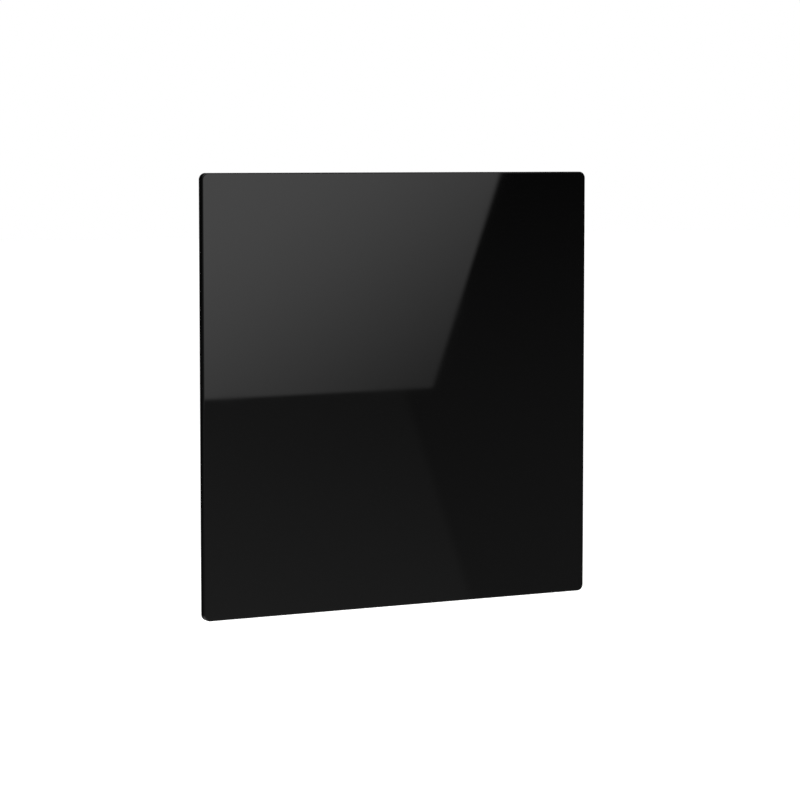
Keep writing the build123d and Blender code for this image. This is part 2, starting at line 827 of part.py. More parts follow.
with BuildPart() as control_lid:
    with BuildSketch(from_wall(box_wall_gap)):
        with Locations(box_middle):
            RectangleRounded(box_width, box_height, box_corner)
    extrude(amount=lid_thickness)
    fillet(control_lid.faces().sort_by(Axis.Y)[-1].edges(), lid_edge_round)
    with BuildSketch(from_wall(lid_under_out)):
        lip_outer = [size - 2 * lid_clearance for size in inner_size]
        lip_inner = [size - 2 * lid_lip_wall for size in lip_outer]
        with Locations(box_middle):
            RectangleRounded(*lip_outer, inner_corner - lid_clearance)
            RectangleRounded(*lip_inner, inner_corner - lid_clearance - lid_lip_wall, mode=Mode.SUBTRACT)
        with Locations(boss_places):
            Circle(boss_radius + boss_stand_off, mode=Mode.SUBTRACT)
        with Locations((box_left, gland_z)):
            Rectangle(2 * (box_wall + locknut_thickness), 2 * locknut_across_flats, mode=Mode.SUBTRACT)
    extrude(amount=lid_lip_depth)
    with BuildSketch(from_wall(box_wall_gap)):
        with Locations(boss_places):
            Circle(lid_screw_radius + screw_clearance)
    extrude(amount=lid_thickness, mode=Mode.SUBTRACT)
    with BuildSketch(from_wall(box_wall_gap)):
        with Locations(boss_places):
            Circle(lid_screw_head_radius + lid_head_clearance)
    extrude(amount=lid_screw_head, mode=Mode.SUBTRACT)
    with BuildSketch(from_wall(box_wall_gap)):
        with Locations(box_middle):
            RectangleRounded(*lid_field, lid_field_corner)
    extrude(amount=lid_field_depth, mode=Mode.SUBTRACT)
control_lid.part.label = "control_lid"
export_step(control_lid.part, "parts/control_lid.step")

with BuildPart() as lid_screws:
    with BuildSketch(from_wall(box_wall_gap)):
        with Locations(boss_places):
            Circle(lid_screw_head_radius)
    extrude(amount=lid_screw_head)
    with BuildSketch(from_wall(box_wall_gap + lid_screw_head)):
        with Locations(boss_places):
            Circle(lid_screw_radius)
    extrude(amount=lid_thickness - lid_screw_head + lid_screw_length)
lid_screws.part.label = "lid_screws"
export_step(lid_screws.part, "parts/lid_screws.step")


# ---- Circuit board and what stands on it ----

def stand_on_board(place, width, height, depth):
    """A block on the board's wall side, round-edged towards the wall, as the sub-part being built."""
    with BuildSketch(from_wall(board_face_out - depth)) as footprint:
        with Locations(place):
            Rectangle(width, height)
    block = extrude(footprint.sketch, amount=depth)
    fillet(block.faces().sort_by(Axis.Y)[-1].edges(), package_round)


with BuildPart() as circuit_board:
    with BuildSketch(from_wall(board_face_out)):
        with Locations((board_x, board_z)):
            RectangleRounded(board_width, board_height, board_corner)
        with Locations(board_places):
            Circle(board_screw_radius + board_hole_clearance, mode=Mode.SUBTRACT)
    extrude(amount=board_thickness)
circuit_board.part.label = "circuit_board"
export_step(circuit_board.part, "parts/circuit_board.step")

with BuildPart() as board_screws:
    with BuildSketch(from_wall(board_face_out - board_screw_head)):
        with Locations(board_places):
            Circle(board_screw_head_radius)
    extrude(amount=board_screw_head)
    with BuildSketch(from_wall(board_face_out)):
        with Locations(board_places):
            Circle(board_screw_radius)
    extrude(amount=board_screw_length)
board_screws.part.label = "board_screws"
export_step(board_screws.part, "parts/board_screws.step")

terminal_x = terminal_left + terminal_depth / 2
terminal_top_out = board_face_out - terminal_height

with BuildPart() as terminal_block:
    with BuildSketch(from_wall(terminal_top_out)):
        with Locations((terminal_x, terminal_z)):
            Rectangle(terminal_depth, terminal_poles * terminal_pitch)
    extrude(amount=terminal_height)
    wire_side = terminal_block.edges().filter_by(Axis.Z).group_by(Axis.X)[0].sort_by(Axis.Y)[-1]
    chamfer(wire_side, terminal_chamfer)
    with BuildSketch(Plane.YZ.offset(terminal_left)):
        with Locations([(-wire_out, z) for z in pole_z]):
            Circle(wire_entry_radius)
    extrude(amount=wire_entry_depth, mode=Mode.SUBTRACT)
    with BuildSketch(from_wall(terminal_top_out)):
        with Locations([(terminal_x, z) for z in pole_z]):
            Circle(terminal_screw_radius + screw_clearance)
    extrude(amount=terminal_screw_depth, mode=Mode.SUBTRACT)
terminal_block.part.label = "terminal_block"
export_step(terminal_block.part, "parts/terminal_block.step")

with BuildPart() as terminal_screws:
    with BuildSketch(from_wall(terminal_top_out + terminal_screw_depth - terminal_screw_head)):
        with Locations([(terminal_x, z) for z in pole_z]):
            Circle(terminal_screw_radius)
    extrude(amount=terminal_screw_head)
terminal_screws.part.label = "terminal_screws"
export_step(terminal_screws.part, "parts/terminal_screws.step")

with BuildPart() as relay:
    stand_on_board(relay_place, *relay_size)
relay.part.label = "relay"
export_step(relay.part, "parts/relay.step")

with BuildPart() as power_module:
    stand_on_board(power_module_place, *power_module_size)
power_module.part.label = "power_module"
export_step(power_module.part, "parts/power_module.step")

with BuildPart() as suppression_capacitor:
    stand_on_board(suppressor_place, *suppressor_size)
suppression_capacitor.part.label = "suppression_capacitor"
export_step(suppression_capacitor.part, "parts/suppression_capacitor.step")

with BuildPart() as smoothing_capacitor:
    x, z = capacitor_place
    with BuildSketch(Plane(origin=(x, -board_face_out, z), x_dir=(1, 0, 0), z_dir=(0, 0, 1))):
        groove = capacitor_groove_height
        with BuildLine():
            Polyline((0, 0), (capacitor_radius, 0), (capacitor_radius, groove))
            ThreePointArc(
                (capacitor_radius, groove),
                (capacitor_radius - capacitor_groove, 1.5 * groove),
                (capacitor_radius, 2 * groove),
            )
            Polyline(
                (capacitor_radius, 2 * groove),
                (capacitor_radius, capacitor_height),
                (0, capacitor_height),
                (0, 0),
            )
        make_face()
    revolve(axis=Axis((x, -board_face_out, z), (0, 1, 0)))
smoothing_capacitor.part.label = "smoothing_capacitor"
export_step(smoothing_capacitor.part, "parts/smoothing_capacitor.step")

with BuildPart() as fuse:
    with BuildSketch(from_wall(board_face_out - fuse_height)):
        with Locations(fuse_place):
            Circle(fuse_radius)
    extrude(amount=fuse_height)
    fillet(fuse.faces().sort_by(Axis.Y)[-1].edges(), package_round)
fuse.part.label = "fuse"
export_step(fuse.part, "parts/fuse.step")

with BuildPart() as radio_module:
    with BuildSketch(from_wall(board_face_out - radio_board_size[2])):
        with Locations(radio_place):
            Rectangle(radio_board_size[0], radio_board_size[1])
    extrude(amount=radio_board_size[2])
    with BuildSketch(from_wall(board_face_out - radio_board_size[2] - radio_can_size[2])):
        with Locations(radio_place):
            Rectangle(radio_can_size[0], radio_can_size[1])
    extrude(amount=radio_can_size[2])
radio_module.part.label = "radio_module"
export_step(radio_module.part, "parts/radio_module.step")

with BuildPart() as room_sensor:
    with BuildSketch(from_wall(board_face_out - sensor_height)):
        with Locations(sensor_place):
            Circle(sensor_radius)
            with Locations((0, sensor_flat)):
                cut_away = (Align.CENTER, Align.MIN)
                Rectangle(2 * sensor_radius, sensor_radius, align=cut_away, mode=Mode.SUBTRACT)
    extrude(amount=sensor_height)
room_sensor.part.label = "room_sensor"
export_step(room_sensor.part, "parts/room_sensor.step")

with BuildPart() as switch_header:
    stand_on_board(header_place, *header_size)
switch_header.part.label = "switch_header"
export_step(switch_header.part, "parts/switch_header.step")


# ---- Leads and thermal cut-out ----

def run_wire(radius, bend, *points):
    """A round wire along straight runs with a bend at each inner point, in the sub-part being built."""
    with BuildLine() as route:
        FilletPolyline(*points, radius=bend)
    with BuildSketch(Plane(origin=route.line @ 0, z_dir=route.line % 0)) as section:
        Circle(radius)
    sweep(section.sketch, path=route.line)


with BuildPart() as film_leads:
    for x, z in zip(lead_x, upper_pole_z):
        lead_end_x = terminal_left + lead_insertion
        run_wire(lead_radius, lead_bend, (x, -busbar_out, z), (x, -wire_out, z), (lead_end_x, -wire_out, z))
film_leads.part.label = "film_leads"
export_step(film_leads.part, "parts/film_leads.step")

cutout_tab_end_out = wall_gap - cutout_height - cutout_tab_length

with BuildPart() as cutout_wires:
    for row, step_x, z in zip((-1, 1), cutout_wire_sides, reversed(middle_pole_z)):
        tab_z = cutout_z + row * cutout_tab_pitch / 2
        rise_out = cutout_tab_end_out - cutout_wire_rise
        run_wire(
            cutout_wire_radius,
            cutout_wire_bend,
            (cutout_x, -cutout_tab_end_out, tab_z),
            (cutout_x, -rise_out, tab_z),
            (cutout_x + step_x, -rise_out, tab_z),
            (cutout_x + step_x, -rise_out, z),
            (cutout_x + step_x, -wire_out, z),
            (terminal_left + lead_insertion, -wire_out, z),
        )
cutout_wires.part.label = "cutout_wires"
export_step(cutout_wires.part, "parts/cutout_wires.step")

with BuildPart() as thermal_cutout:
    with BuildSketch(from_wall(wall_gap - cutout_height)):
        with Locations((cutout_x, cutout_z)):
            Circle(cutout_body_radius)
    extrude(amount=cutout_height - cutout_cap)
    with BuildSketch(from_wall(wall_gap - cutout_cap)):
        with Locations((cutout_x, cutout_z)):
            Circle(cutout_radius)
    extrude(amount=cutout_cap)
    with BuildSketch(from_wall(cutout_tab_end_out)):
        with Locations((cutout_x, cutout_z)), GridLocations(0, cutout_tab_pitch, 1, 2):
            Rectangle(cutout_tab_width, tab_thickness)
    extrude(amount=cutout_tab_length)
thermal_cutout.part.label = "thermal_cutout"
export_step(thermal_cutout.part, "parts/thermal_cutout.step")

with BuildPart() as cutout_clip:
    with BuildSketch(Plane.XY.offset(cutout_z - clip_width / 2)):
        foot_end = clip_feet + clip_foot / 2
        foot_level = -(floor_out - clip_sheet / 2)
        top_level = -(wall_gap - cutout_height - clip_sheet / 2)
        with BuildLine():
            FilletPolyline(
                (cutout_x - foot_end, foot_level),
                (cutout_x - clip_leg, foot_level),
                (cutout_x - clip_leg, top_level),
                (cutout_x + clip_leg, top_level),
                (cutout_x + clip_leg, foot_level),
                (cutout_x + foot_end, foot_level),
                radius=clip_bend,
            )
        trace(line_width=clip_sheet)
    extrude(amount=clip_width)
    with BuildSketch(from_wall(floor_out - clip_sheet)):
        with Locations(clip_places):
            Circle(clip_screw_radius + screw_clearance)
    extrude(amount=clip_sheet, mode=Mode.SUBTRACT)
cutout_clip.part.label = "cutout_clip"
export_step(cutout_clip.part, "parts/cutout_clip.step")

with BuildPart() as clip_screws:
    with BuildSketch(from_wall(floor_out - clip_sheet - clip_screw_head)):
        with Locations(clip_places):
            Circle(clip_screw_head_radius)
    extrude(amount=clip_screw_head)
    with BuildSketch(from_wall(floor_out - clip_sheet)):
        with Locations(clip_places):
            Circle(clip_screw_radius)
    extrude(amount=clip_sheet + clip_screw_length)
clip_screws.part.label = "clip_screws"
export_step(clip_screws.part, "parts/clip_screws.step")


# ---- Push button and status light ----

collar_top = inner_bottom + button_collar
stem_top = board_bottom - plunger_proud
button_face = box_bottom - button_proud

with BuildPart() as push_button:
    with BuildSketch(Plane(origin=(button_x, -button_out, 0), x_dir=(1, 0, 0), z_dir=(0, -1, 0))):
        dish_radius = (button_radius**2 + button_dish**2) / (2 * button_dish)
        dish_middle = button_face + button_dish - dish_radius
        with BuildLine():
            Polyline(
                (0, stem_top),
                (stem_radius, stem_top),
                (stem_radius, collar_top),
                (button_collar_radius, collar_top),
                (button_collar_radius, inner_bottom),
                (button_radius, inner_bottom),
                (button_radius, button_face),
            )
            ThreePointArc(
                (button_radius, button_face),
                (button_radius / 2, dish_middle + sqrt(dish_radius**2 - button_radius**2 / 4)),
                (0, button_face + button_dish),
            )
            Line((0, button_face + button_dish), (0, stem_top))
        make_face()
    revolve(axis=Axis((button_x, -button_out, 0), (0, 0, 1)))
push_button.part.label = "push_button"
export_step(push_button.part, "parts/push_button.step")

with BuildPart() as button_plunger:
    with BuildSketch(facing_down(board_bottom + plunger_seat)):
        with Locations((button_x, button_out)):
            Circle(plunger_radius)
    extrude(amount=plunger_seat + plunger_proud)
button_plunger.part.label = "button_plunger"
export_step(button_plunger.part, "parts/button_plunger.step")

with BuildPart() as tact_switch:
    with BuildSketch(from_wall(board_face_out - tact_size[2])):
        with Locations((button_x, board_bottom)):
            Rectangle(tact_size[0], tact_size[1], align=(Align.CENTER, Align.MIN))
    extrude(amount=tact_size[2])
    with BuildSketch(facing_down(board_bottom)):
        with Locations((button_x, button_out)):
            Circle(plunger_radius + plunger_clearance)
    extrude(amount=-(plunger_seat + button_travel + plunger_over_travel), mode=Mode.SUBTRACT)
tact_switch.part.label = "tact_switch"
export_step(tact_switch.part, "parts/tact_switch.step")

led_tip = board_bottom - led_proud

with BuildPart() as status_led:
    with BuildSketch(from_wall(button_out - led_radius)):
        with Locations((light_x, board_bottom)):
            Rectangle(2 * led_holder_half, led_length, align=(Align.CENTER, Align.MIN))
    extrude(amount=board_face_out - button_out + led_radius)
    with BuildSketch(facing_down(board_bottom)):
        with Locations((light_x, button_out)):
            Circle(led_radius)
    extrude(amount=led_proud)
    fillet(status_led.faces().sort_by(Axis.Z)[0].edges(), led_radius / 2)
status_led.part.label = "status_led"
export_step(status_led.part, "parts/status_led.step")

with BuildPart() as light_pipe:
    with BuildSketch(facing_down(led_tip - led_gap)):
        with Locations((light_x, button_out)):
            Circle(light_radius)
    extrude(amount=led_tip - led_gap - box_bottom + light_proud)
    fillet(light_pipe.faces().sort_by(Axis.Z)[0].edges(), light_proud)
    with BuildSketch(facing_down(inner_bottom + light_collar)):
        with Locations((light_x, button_out)):
            Circle(light_collar_radius)
    extrude(amount=light_collar)
light_pipe.part.label = "light_pipe"
export_step(light_pipe.part, "parts/light_pipe.step")


# ---- Rocker switch ----

bezel_face = box_bottom - bezel_height
body_top = box_bottom + switch_body_height
pivot_z = bezel_face + pivot_depth
pivot = (switch_x, -inner_middle_out, pivot_z)
pivot_plane = Plane(origin=pivot, x_dir=(1, 0, 0), z_dir=(0, -1, 0))
tilt = radians(rocker_tilt)
rocker_plane = Plane(origin=pivot, x_dir=(cos(tilt), 0, sin(tilt)), z_dir=(0, -1, 0))
switch_place = (switch_x, inner_middle_out)

with BuildPart() as switch_body:
    with BuildSketch(facing_down(box_bottom)):
        with Locations(switch_place):
            RectangleRounded(bezel_length, bezel_width, bezel_corner)
    extrude(amount=bezel_height)
    fillet(switch_body.faces().sort_by(Axis.Z)[0].edges(), bezel_round)
    with BuildSketch(facing_down(box_bottom)):
        with Locations(switch_place):
            Rectangle(switch_body_length, switch_body_width)
    extrude(amount=-switch_body_height)
    with BuildSketch(facing_down(bezel_face)):
        with Locations(switch_place):
            Rectangle(well_length, well_width)
    extrude(amount=-well_depth, mode=Mode.SUBTRACT)
    with BuildSketch(pivot_plane):
        Circle(pivot_radius + pivot_clearance)
    extrude(amount=well_width / 2 + pivot_seat, both=True, mode=Mode.SUBTRACT)
switch_body.part.label = "switch_body"
export_step(switch_body.part, "parts/switch_body.step")

with BuildPart() as rocker:
    with BuildSketch(rocker_plane):
        swing = well_length / 2 - rocker_gap
        tip_x = sqrt(swing**2 - rocker_tip**2)
        back_x = sqrt(swing**2 - rocker_back**2)
        with BuildLine():
            Polyline((-tip_x, -rocker_tip), (0, -rocker_waist), (tip_x, -rocker_tip))
            ThreePointArc((tip_x, -rocker_tip), (swing, 0), (back_x, rocker_back))
            Line((back_x, rocker_back), (-back_x, rocker_back))
            ThreePointArc((-back_x, rocker_back), (-swing, 0), (-tip_x, -rocker_tip))
        make_face()
    extrude(amount=well_width / 2 - rocker_gap, both=True)
    with BuildSketch(pivot_plane):
        Circle(pivot_radius)
    extrude(amount=well_width / 2 + pivot_length, both=True)
rocker.part.label = "rocker"
export_step(rocker.part, "parts/rocker.step")

with BuildPart() as switch_tabs:
    with BuildSketch(facing_down(body_top)):
        with Locations(switch_place), GridLocations(tab_pitch, 0, 2, 1):
            Rectangle(tab_thickness, tab_width)
    extrude(amount=-tab_length)
    with BuildSketch(Plane.YZ.offset(switch_x - tab_pitch)):
        with Locations((-inner_middle_out, body_top + tab_length - tab_width / 2)):
            Circle(tab_hole_radius)
    extrude(amount=2 * tab_pitch, mode=Mode.SUBTRACT)
switch_tabs.part.label = "switch_tabs"
export_step(switch_tabs.part, "parts/switch_tabs.step")

with BuildPart() as switch_wires:
    header_x = header_place[0] + header_size[0] / 2
    header_z = header_place[1]
    for side in (-1, 1):
        tab_x = switch_x + side * tab_pitch / 2
        wire_z = header_z + side * switch_wire_step / 2
        run_wire(
            switch_wire_radius,
            switch_wire_bend,
            (tab_x, -inner_middle_out, body_top + tab_length),
            (tab_x, -inner_middle_out, wire_z),
            (header_x, -inner_middle_out, wire_z),
        )
switch_wires.part.label = "switch_wires"
export_step(switch_wires.part, "parts/switch_wires.step")


# ---- Cable gland ----

barrel_end = box_left - gland_flange - gland_barrel
flat_towards_wall = 30  # turns each hexagon so that two flats face the wall and the glass

with BuildPart() as gland_body:
    with BuildSketch(Plane.YZ.offset(box_left - gland_flange)):
        with Locations(gland_place):
            RegularPolygon(gland_across_flats / 2, 6, major_radius=False, rotation=flat_towards_wall)
    extrude(amount=gland_flange)
    with BuildSketch(Plane.YZ.offset(barrel_end)):
        with Locations(gland_place):
            Circle(gland_barrel_radius)
    extrude(amount=gland_barrel)
    with BuildSketch(Plane.YZ.offset(box_left)):
        with Locations(gland_place):
            Circle(gland_tail_radius)
    extrude(amount=gland_tail)
    with BuildSketch(Plane.YZ.offset(barrel_end)):
        with Locations(gland_place):
            Circle(gland_bore_radius)
    extrude(amount=gland_barrel + gland_flange + gland_tail, mode=Mode.SUBTRACT)
    with BuildSketch(Plane.YZ.offset(barrel_end)):
        with Locations(gland_place):
            Circle(seal_radius + seal_clearance)
    extrude(amount=seal_length, mode=Mode.SUBTRACT)
gland_body.part.label = "gland_body"
export_step(gland_body.part, "parts/gland_body.step")

with BuildPart() as gland_seal:
    with BuildSketch(Plane.YZ.offset(barrel_end)):
        with Locations(gland_place):
            Circle(seal_radius)
            Circle(seal_bore_radius, mode=Mode.SUBTRACT)
    extrude(amount=seal_length)
gland_seal.part.label = "gland_seal"
export_step(gland_seal.part, "parts/gland_seal.step")

with BuildPart() as gland_dome:
    dome_length = gland_barrel - dome_gap + dome_mouth
    with BuildSketch(Plane.YZ.offset(barrel_end - dome_mouth)):
        with Locations(gland_place):
            RegularPolygon(gland_across_flats / 2, 6, major_radius=False, rotation=flat_towards_wall)
    extrude(amount=dome_length)
    fillet(gland_dome.faces().sort_by(Axis.X)[0].edges(), dome_round)
    with BuildSketch(Plane.YZ.offset(barrel_end - dome_mouth)):
        with Locations(gland_place):
            Circle(dome_mouth_radius)
    extrude(amount=dome_mouth, mode=Mode.SUBTRACT)
    with BuildSketch(Plane.YZ.offset(barrel_end)):
        with Locations(gland_place):
            Circle(gland_barrel_radius + dome_clearance)
    extrude(amount=dome_length - dome_mouth, mode=Mode.SUBTRACT)
gland_dome.part.label = "gland_dome"
export_step(gland_dome.part, "parts/gland_dome.step")

with BuildPart() as gland_locknut:
    with BuildSketch(Plane.YZ.offset(box_left + box_wall)):
        with Locations(gland_place):
            RegularPolygon(locknut_across_flats / 2, 6, major_radius=False, rotation=flat_towards_wall)
            Circle(gland_tail_radius + gland_tail_clearance, mode=Mode.SUBTRACT)
    extrude(amount=locknut_thickness)
gland_locknut.part.label = "gland_locknut"
export_step(gland_locknut.part, "parts/gland_locknut.step")
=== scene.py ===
import json
import math

import bmesh
import bpy
from mathutils import Matrix, Vector


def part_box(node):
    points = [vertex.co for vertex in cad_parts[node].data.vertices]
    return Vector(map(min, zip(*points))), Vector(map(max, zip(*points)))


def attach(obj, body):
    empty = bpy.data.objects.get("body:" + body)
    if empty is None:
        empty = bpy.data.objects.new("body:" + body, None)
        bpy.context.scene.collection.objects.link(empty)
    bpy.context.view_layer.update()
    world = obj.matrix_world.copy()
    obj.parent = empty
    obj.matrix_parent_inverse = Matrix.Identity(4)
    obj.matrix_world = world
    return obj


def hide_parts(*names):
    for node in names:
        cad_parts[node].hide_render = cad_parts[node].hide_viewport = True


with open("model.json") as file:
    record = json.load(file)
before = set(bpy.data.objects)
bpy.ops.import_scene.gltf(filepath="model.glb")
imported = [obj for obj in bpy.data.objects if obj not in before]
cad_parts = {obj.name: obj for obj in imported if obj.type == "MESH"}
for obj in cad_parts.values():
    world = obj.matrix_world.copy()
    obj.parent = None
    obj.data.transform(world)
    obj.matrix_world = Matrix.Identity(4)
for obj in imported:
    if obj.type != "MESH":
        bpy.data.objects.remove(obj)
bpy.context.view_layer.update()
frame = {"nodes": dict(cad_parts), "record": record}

nodes = frame["nodes"]
scene = bpy.context.scene
print("frame loaded:", len(nodes), "nodes")


# camera, at the photograph's viewing angle
camera = {
    "place": (-1.9743, -3.6049, 0.3267),
    "yaw": 28.983,  # to the right of the wall's normal
    "pitch": 4.774,  # downwards
    "lens": 133.225,
    "sensor": 36.0,
    "clip": (0.1, 100.0),
}


def addCamera(c):
    data = bpy.data.cameras.new("photoCamera")
    data.lens = c["lens"]
    data.sensor_width = c["sensor"]
    data.clip_start, data.clip_end = c["clip"]
    obj = bpy.data.objects.new("photoCamera", data)
    obj.location = c["place"]
    obj.rotation_euler = (math.radians(90.0 - c["pitch"]), 0.0, math.radians(-c["yaw"]))
    scene.collection.objects.link(obj)
    scene.camera = obj


addCamera(camera)
print("camera set")


# small helpers for building materials
def newNode(tree, kind, **settings):
    node = tree.nodes.new(kind)
    for key, value in settings.items():
        setattr(node, key, value)
    return node


def feed(tree, target, value):
    # a socket is linked, anything else becomes the input's own value
    if isinstance(value, bpy.types.NodeSocket):
        tree.links.new(value, target)
    else:
        target.default_value = value


def calc(tree, operation, a, b=None, c=None):
    node = newNode(tree, "ShaderNodeMath", operation=operation)
    for index, value in enumerate((a, b, c)):
        if value is not None:
            feed(tree, node.inputs[index], value)
    return node.outputs[0]


def noise(tree, vector, scale, detail, roughness):
    node = newNode(tree, "ShaderNodeTexNoise")
    feed(tree, node.inputs["Vector"], vector)
    feed(tree, node.inputs["Scale"], scale)
    feed(tree, node.inputs["Detail"], detail)
    feed(tree, node.inputs["Roughness"], roughness)
    return node.outputs["Fac"]


def remap(tree, value, low, high, newLow=0.0, newHigh=1.0, smooth=False):
    node = newNode(tree, "ShaderNodeMapRange", clamp=True)
    node.interpolation_type = "SMOOTHSTEP" if smooth else "LINEAR"
    for name, setting in zip(("Value", "From Min", "From Max", "To Min", "To Max"),
                             (value, low, high, newLow, newHigh)):
        feed(tree, node.inputs[name], setting)
    return node.outputs["Result"]


def stretched(tree, vector, scale):
    node = newNode(tree, "ShaderNodeMapping", vector_type="POINT")
    feed(tree, node.inputs["Vector"], vector)
    node.inputs["Scale"].default_value = scale
    return node.outputs["Vector"]


def blendColours(tree, factor, a, b):
    # the Mix node's sockets go by number, because each kind of data has its own A and B
    node = newNode(tree, "ShaderNodeMix", data_type="RGBA")
    for index, value in ((0, factor), (6, a), (7, b)):
        feed(tree, node.inputs[index], value)
    return node.outputs[2]


def blendValues(tree, factor, a, b):
    node = newNode(tree, "ShaderNodeMix", data_type="FLOAT")
    for index, value in ((0, factor), (2, a), (3, b)):
        feed(tree, node.inputs[index], value)
    return node.outputs[0]


def newGroup(name, inputs, outputs):
    tree = bpy.data.node_groups.new(name, "ShaderNodeTree")
    for label, kind, value in inputs:
        socket = tree.interface.new_socket(name=label, in_out="INPUT", socket_type=kind)
        if value is not None:
            socket.default_value = value
    for label, kind in outputs:
        tree.interface.new_socket(name=label, in_out="OUTPUT", socket_type=kind)
    return tree, newNode(tree, "NodeGroupInput").outputs, newNode(tree, "NodeGroupOutput").inputs


number, vector3 = "NodeSocketFloat", "NodeSocketVector"

# fine surface grain: a height for bump and a slow, cloudy variation
grainTexture = {
    "scale": 1500.0, "clouds": 40.0,
    "fine": (3.0, 0.6), "cloudy": (4.0, 0.55),  # each noise's detail and roughness
    "cloudRange": (0.32, 0.68),
}


def makeGrainGroup(g):
    tree, given, made = newGroup(
        "surfaceGrain",
        [("Vector", vector3, None), ("Scale", number, g["scale"]), ("Clouds", number, g["clouds"])],
        [("Height", number), ("Variation", number)],
    )
    clouds = noise(tree, given["Vector"], given["Clouds"], *g["cloudy"])
    feed(tree, made["Height"], noise(tree, given["Vector"], given["Scale"], *g["fine"]))
    feed(tree, made["Variation"], remap(tree, clouds, *g["cloudRange"]))
    return tree


# pits and soft islands, as powder coat and spark-eroded mould texture have
pebbleTexture = {
    "scale": 900.0, "smoothness": 0.6,
    "rough": (2.0, 0.6), "roughScale": 1.7, "roughShare": 0.5,  # the finer layer over the pits
}


def makePebbleGroup(p):
    tree, given, made = newGroup(
        "pebbleTexture",
        [("Vector", vector3, None), ("Scale", number, p["scale"])],
        [("Height", number), ("Cells", number)],
    )
    cells = newNode(tree, "ShaderNodeTexVoronoi", feature="SMOOTH_F1")
    feed(tree, cells.inputs["Vector"], given["Vector"])
    feed(tree, cells.inputs["Scale"], given["Scale"])
    cells.inputs["Smoothness"].default_value = p["smoothness"]
    roughScale = calc(tree, "MULTIPLY", given["Scale"], p["roughScale"])
    rough = calc(tree, "MULTIPLY", noise(tree, given["Vector"], roughScale, *p["rough"]), p["roughShare"])
    feed(tree, made["Height"], calc(tree, "ADD", cells.outputs["Distance"], rough))
    feed(tree, made["Cells"], cells.outputs["Distance"])
    return tree


# worn, paler edges where two faces meet
edgeWear = {
    "radius": 0.0008, "samples": 4,
    "turned": (0.97, 0.75),  # cosines between which a rounded normal counts as an edge
    "breakup": 260.0, "broken": (3.0, 0.5), "patches": (0.38, 0.62),
}


def makeEdgeGroup(e):
    tree, given, made = newGroup(
        "edgeWear",
        [("Vector", vector3, None), ("Radius", number, e["radius"]), ("Breakup", number, e["breakup"])],
        [("Mask", number)],
    )
    bevel = newNode(tree, "ShaderNodeBevel", samples=e["samples"])
    feed(tree, bevel.inputs["Radius"], given["Radius"])
    geometry = newNode(tree, "ShaderNodeNewGeometry")
    turned = newNode(tree, "ShaderNodeVectorMath", operation="DOT_PRODUCT")
    feed(tree, turned.inputs[0], bevel.outputs["Normal"])
    feed(tree, turned.inputs[1], geometry.outputs["Normal"])
    edge = remap(tree, turned.outputs["Value"], *e["turned"])
    patchy = noise(tree, given["Vector"], given["Breakup"], *e["broken"])
    feed(tree, made["Mask"], calc(tree, "MULTIPLY", edge, remap(tree, patchy, *e["patches"])))
    return tree


# fine dust that settles on faces that look up
dust = {
    "scale": 90.0, "specks": (5.0, 0.7), "speckRange": (0.4, 0.75),
    "upward": (0.35, 0.95),  # how far up a normal looks before dust lies, and where it lies fully
    "colour": (0.45, 0.43, 0.40, 1.0),
}


def makeDustGroup(d):
    tree, given, made = newGroup(
        "settledDust",
        [("Vector", vector3, None), ("Scale", number, d["scale"])],
        [("Mask", number)],
    )
    geometry = newNode(tree, "ShaderNodeNewGeometry")
    axes = newNode(tree, "ShaderNodeSeparateXYZ")
    feed(tree, axes.inputs[0], geometry.outputs["Normal"])
    upward = remap(tree, axes.outputs["Z"], *d["upward"])
    specks = noise(tree, given["Vector"], given["Scale"], *d["specks"])
    feed(tree, made["Mask"], calc(tree, "MULTIPLY", upward, remap(tree, specks, *d["speckRange"])))
    return tree


# long fine lines left by drawing, brushing or extruding
drawnTexture = {
    "scale": 2500.0, "fine": (2.0, 0.6),
    "broad": (3.0, 0.6), "broadScale": 0.12, "streaks": (0.3, 0.7),
}


def makeDrawnGroup(d):
    tree, given, made = newGroup(
        "drawnLines",
        [("Vector", vector3, None), ("Scale", number, d["scale"])],
        [("Height", number), ("Streaks", number)],
    )
    broadScale = calc(tree, "MULTIPLY", given["Scale"], d["broadScale"])
    broad = noise(tree, given["Vector"], broadScale, *d["broad"])
    feed(tree, made["Height"], noise(tree, given["Vector"], given["Scale"], *d["fine"]))
    feed(tree, made["Streaks"], remap(tree, broad, *d["streaks"]))
    return tree


groups = {
    "grain": makeGrainGroup(grainTexture),
    "pebble": makePebbleGroup(pebbleTexture),
    "edge": makeEdgeGroup(edgeWear),
    "dust": makeDustGroup(dust),
    "drawn": makeDrawnGroup(drawnTexture),
}


def useGroup(tree, name, **values):
    node = newNode(tree, "ShaderNodeGroup", node_tree=groups[name])
    for key, value in values.items():
        feed(tree, node.inputs[key], value)
    return node.outputs


def startMaterial(name):
    material = bpy.data.materials.new(name)
    material.use_nodes = True
    tree = material.node_tree
    shader = tree.nodes["Principled BSDF"]
    place = newNode(tree, "ShaderNodeTexCoord").outputs["Object"]
    return material, tree, shader, place


def addBump(tree, shader, height, distance):
    bump = newNode(tree, "ShaderNodeBump")
    bump.inputs["Strength"].default_value = 1.0
    bump.inputs["Distance"].default_value = distance
    feed(tree, bump.inputs["Height"], height)
    feed(tree, shader.inputs["Normal"], bump.outputs["Normal"])


# the panel's glass: black enamel under a polished face, with faint smudges and roller wave
glassFinish = {
    "enamel": (0.00012, 0.00012, 0.00014, 1.0),
    "roughness": (0.012, 0.032),  # clean, and smudged
    "smudges": 9.0,
    "waveScale": 7.0,
    "waveDepth": 0.0000012,
    "ior": 1.52,
}


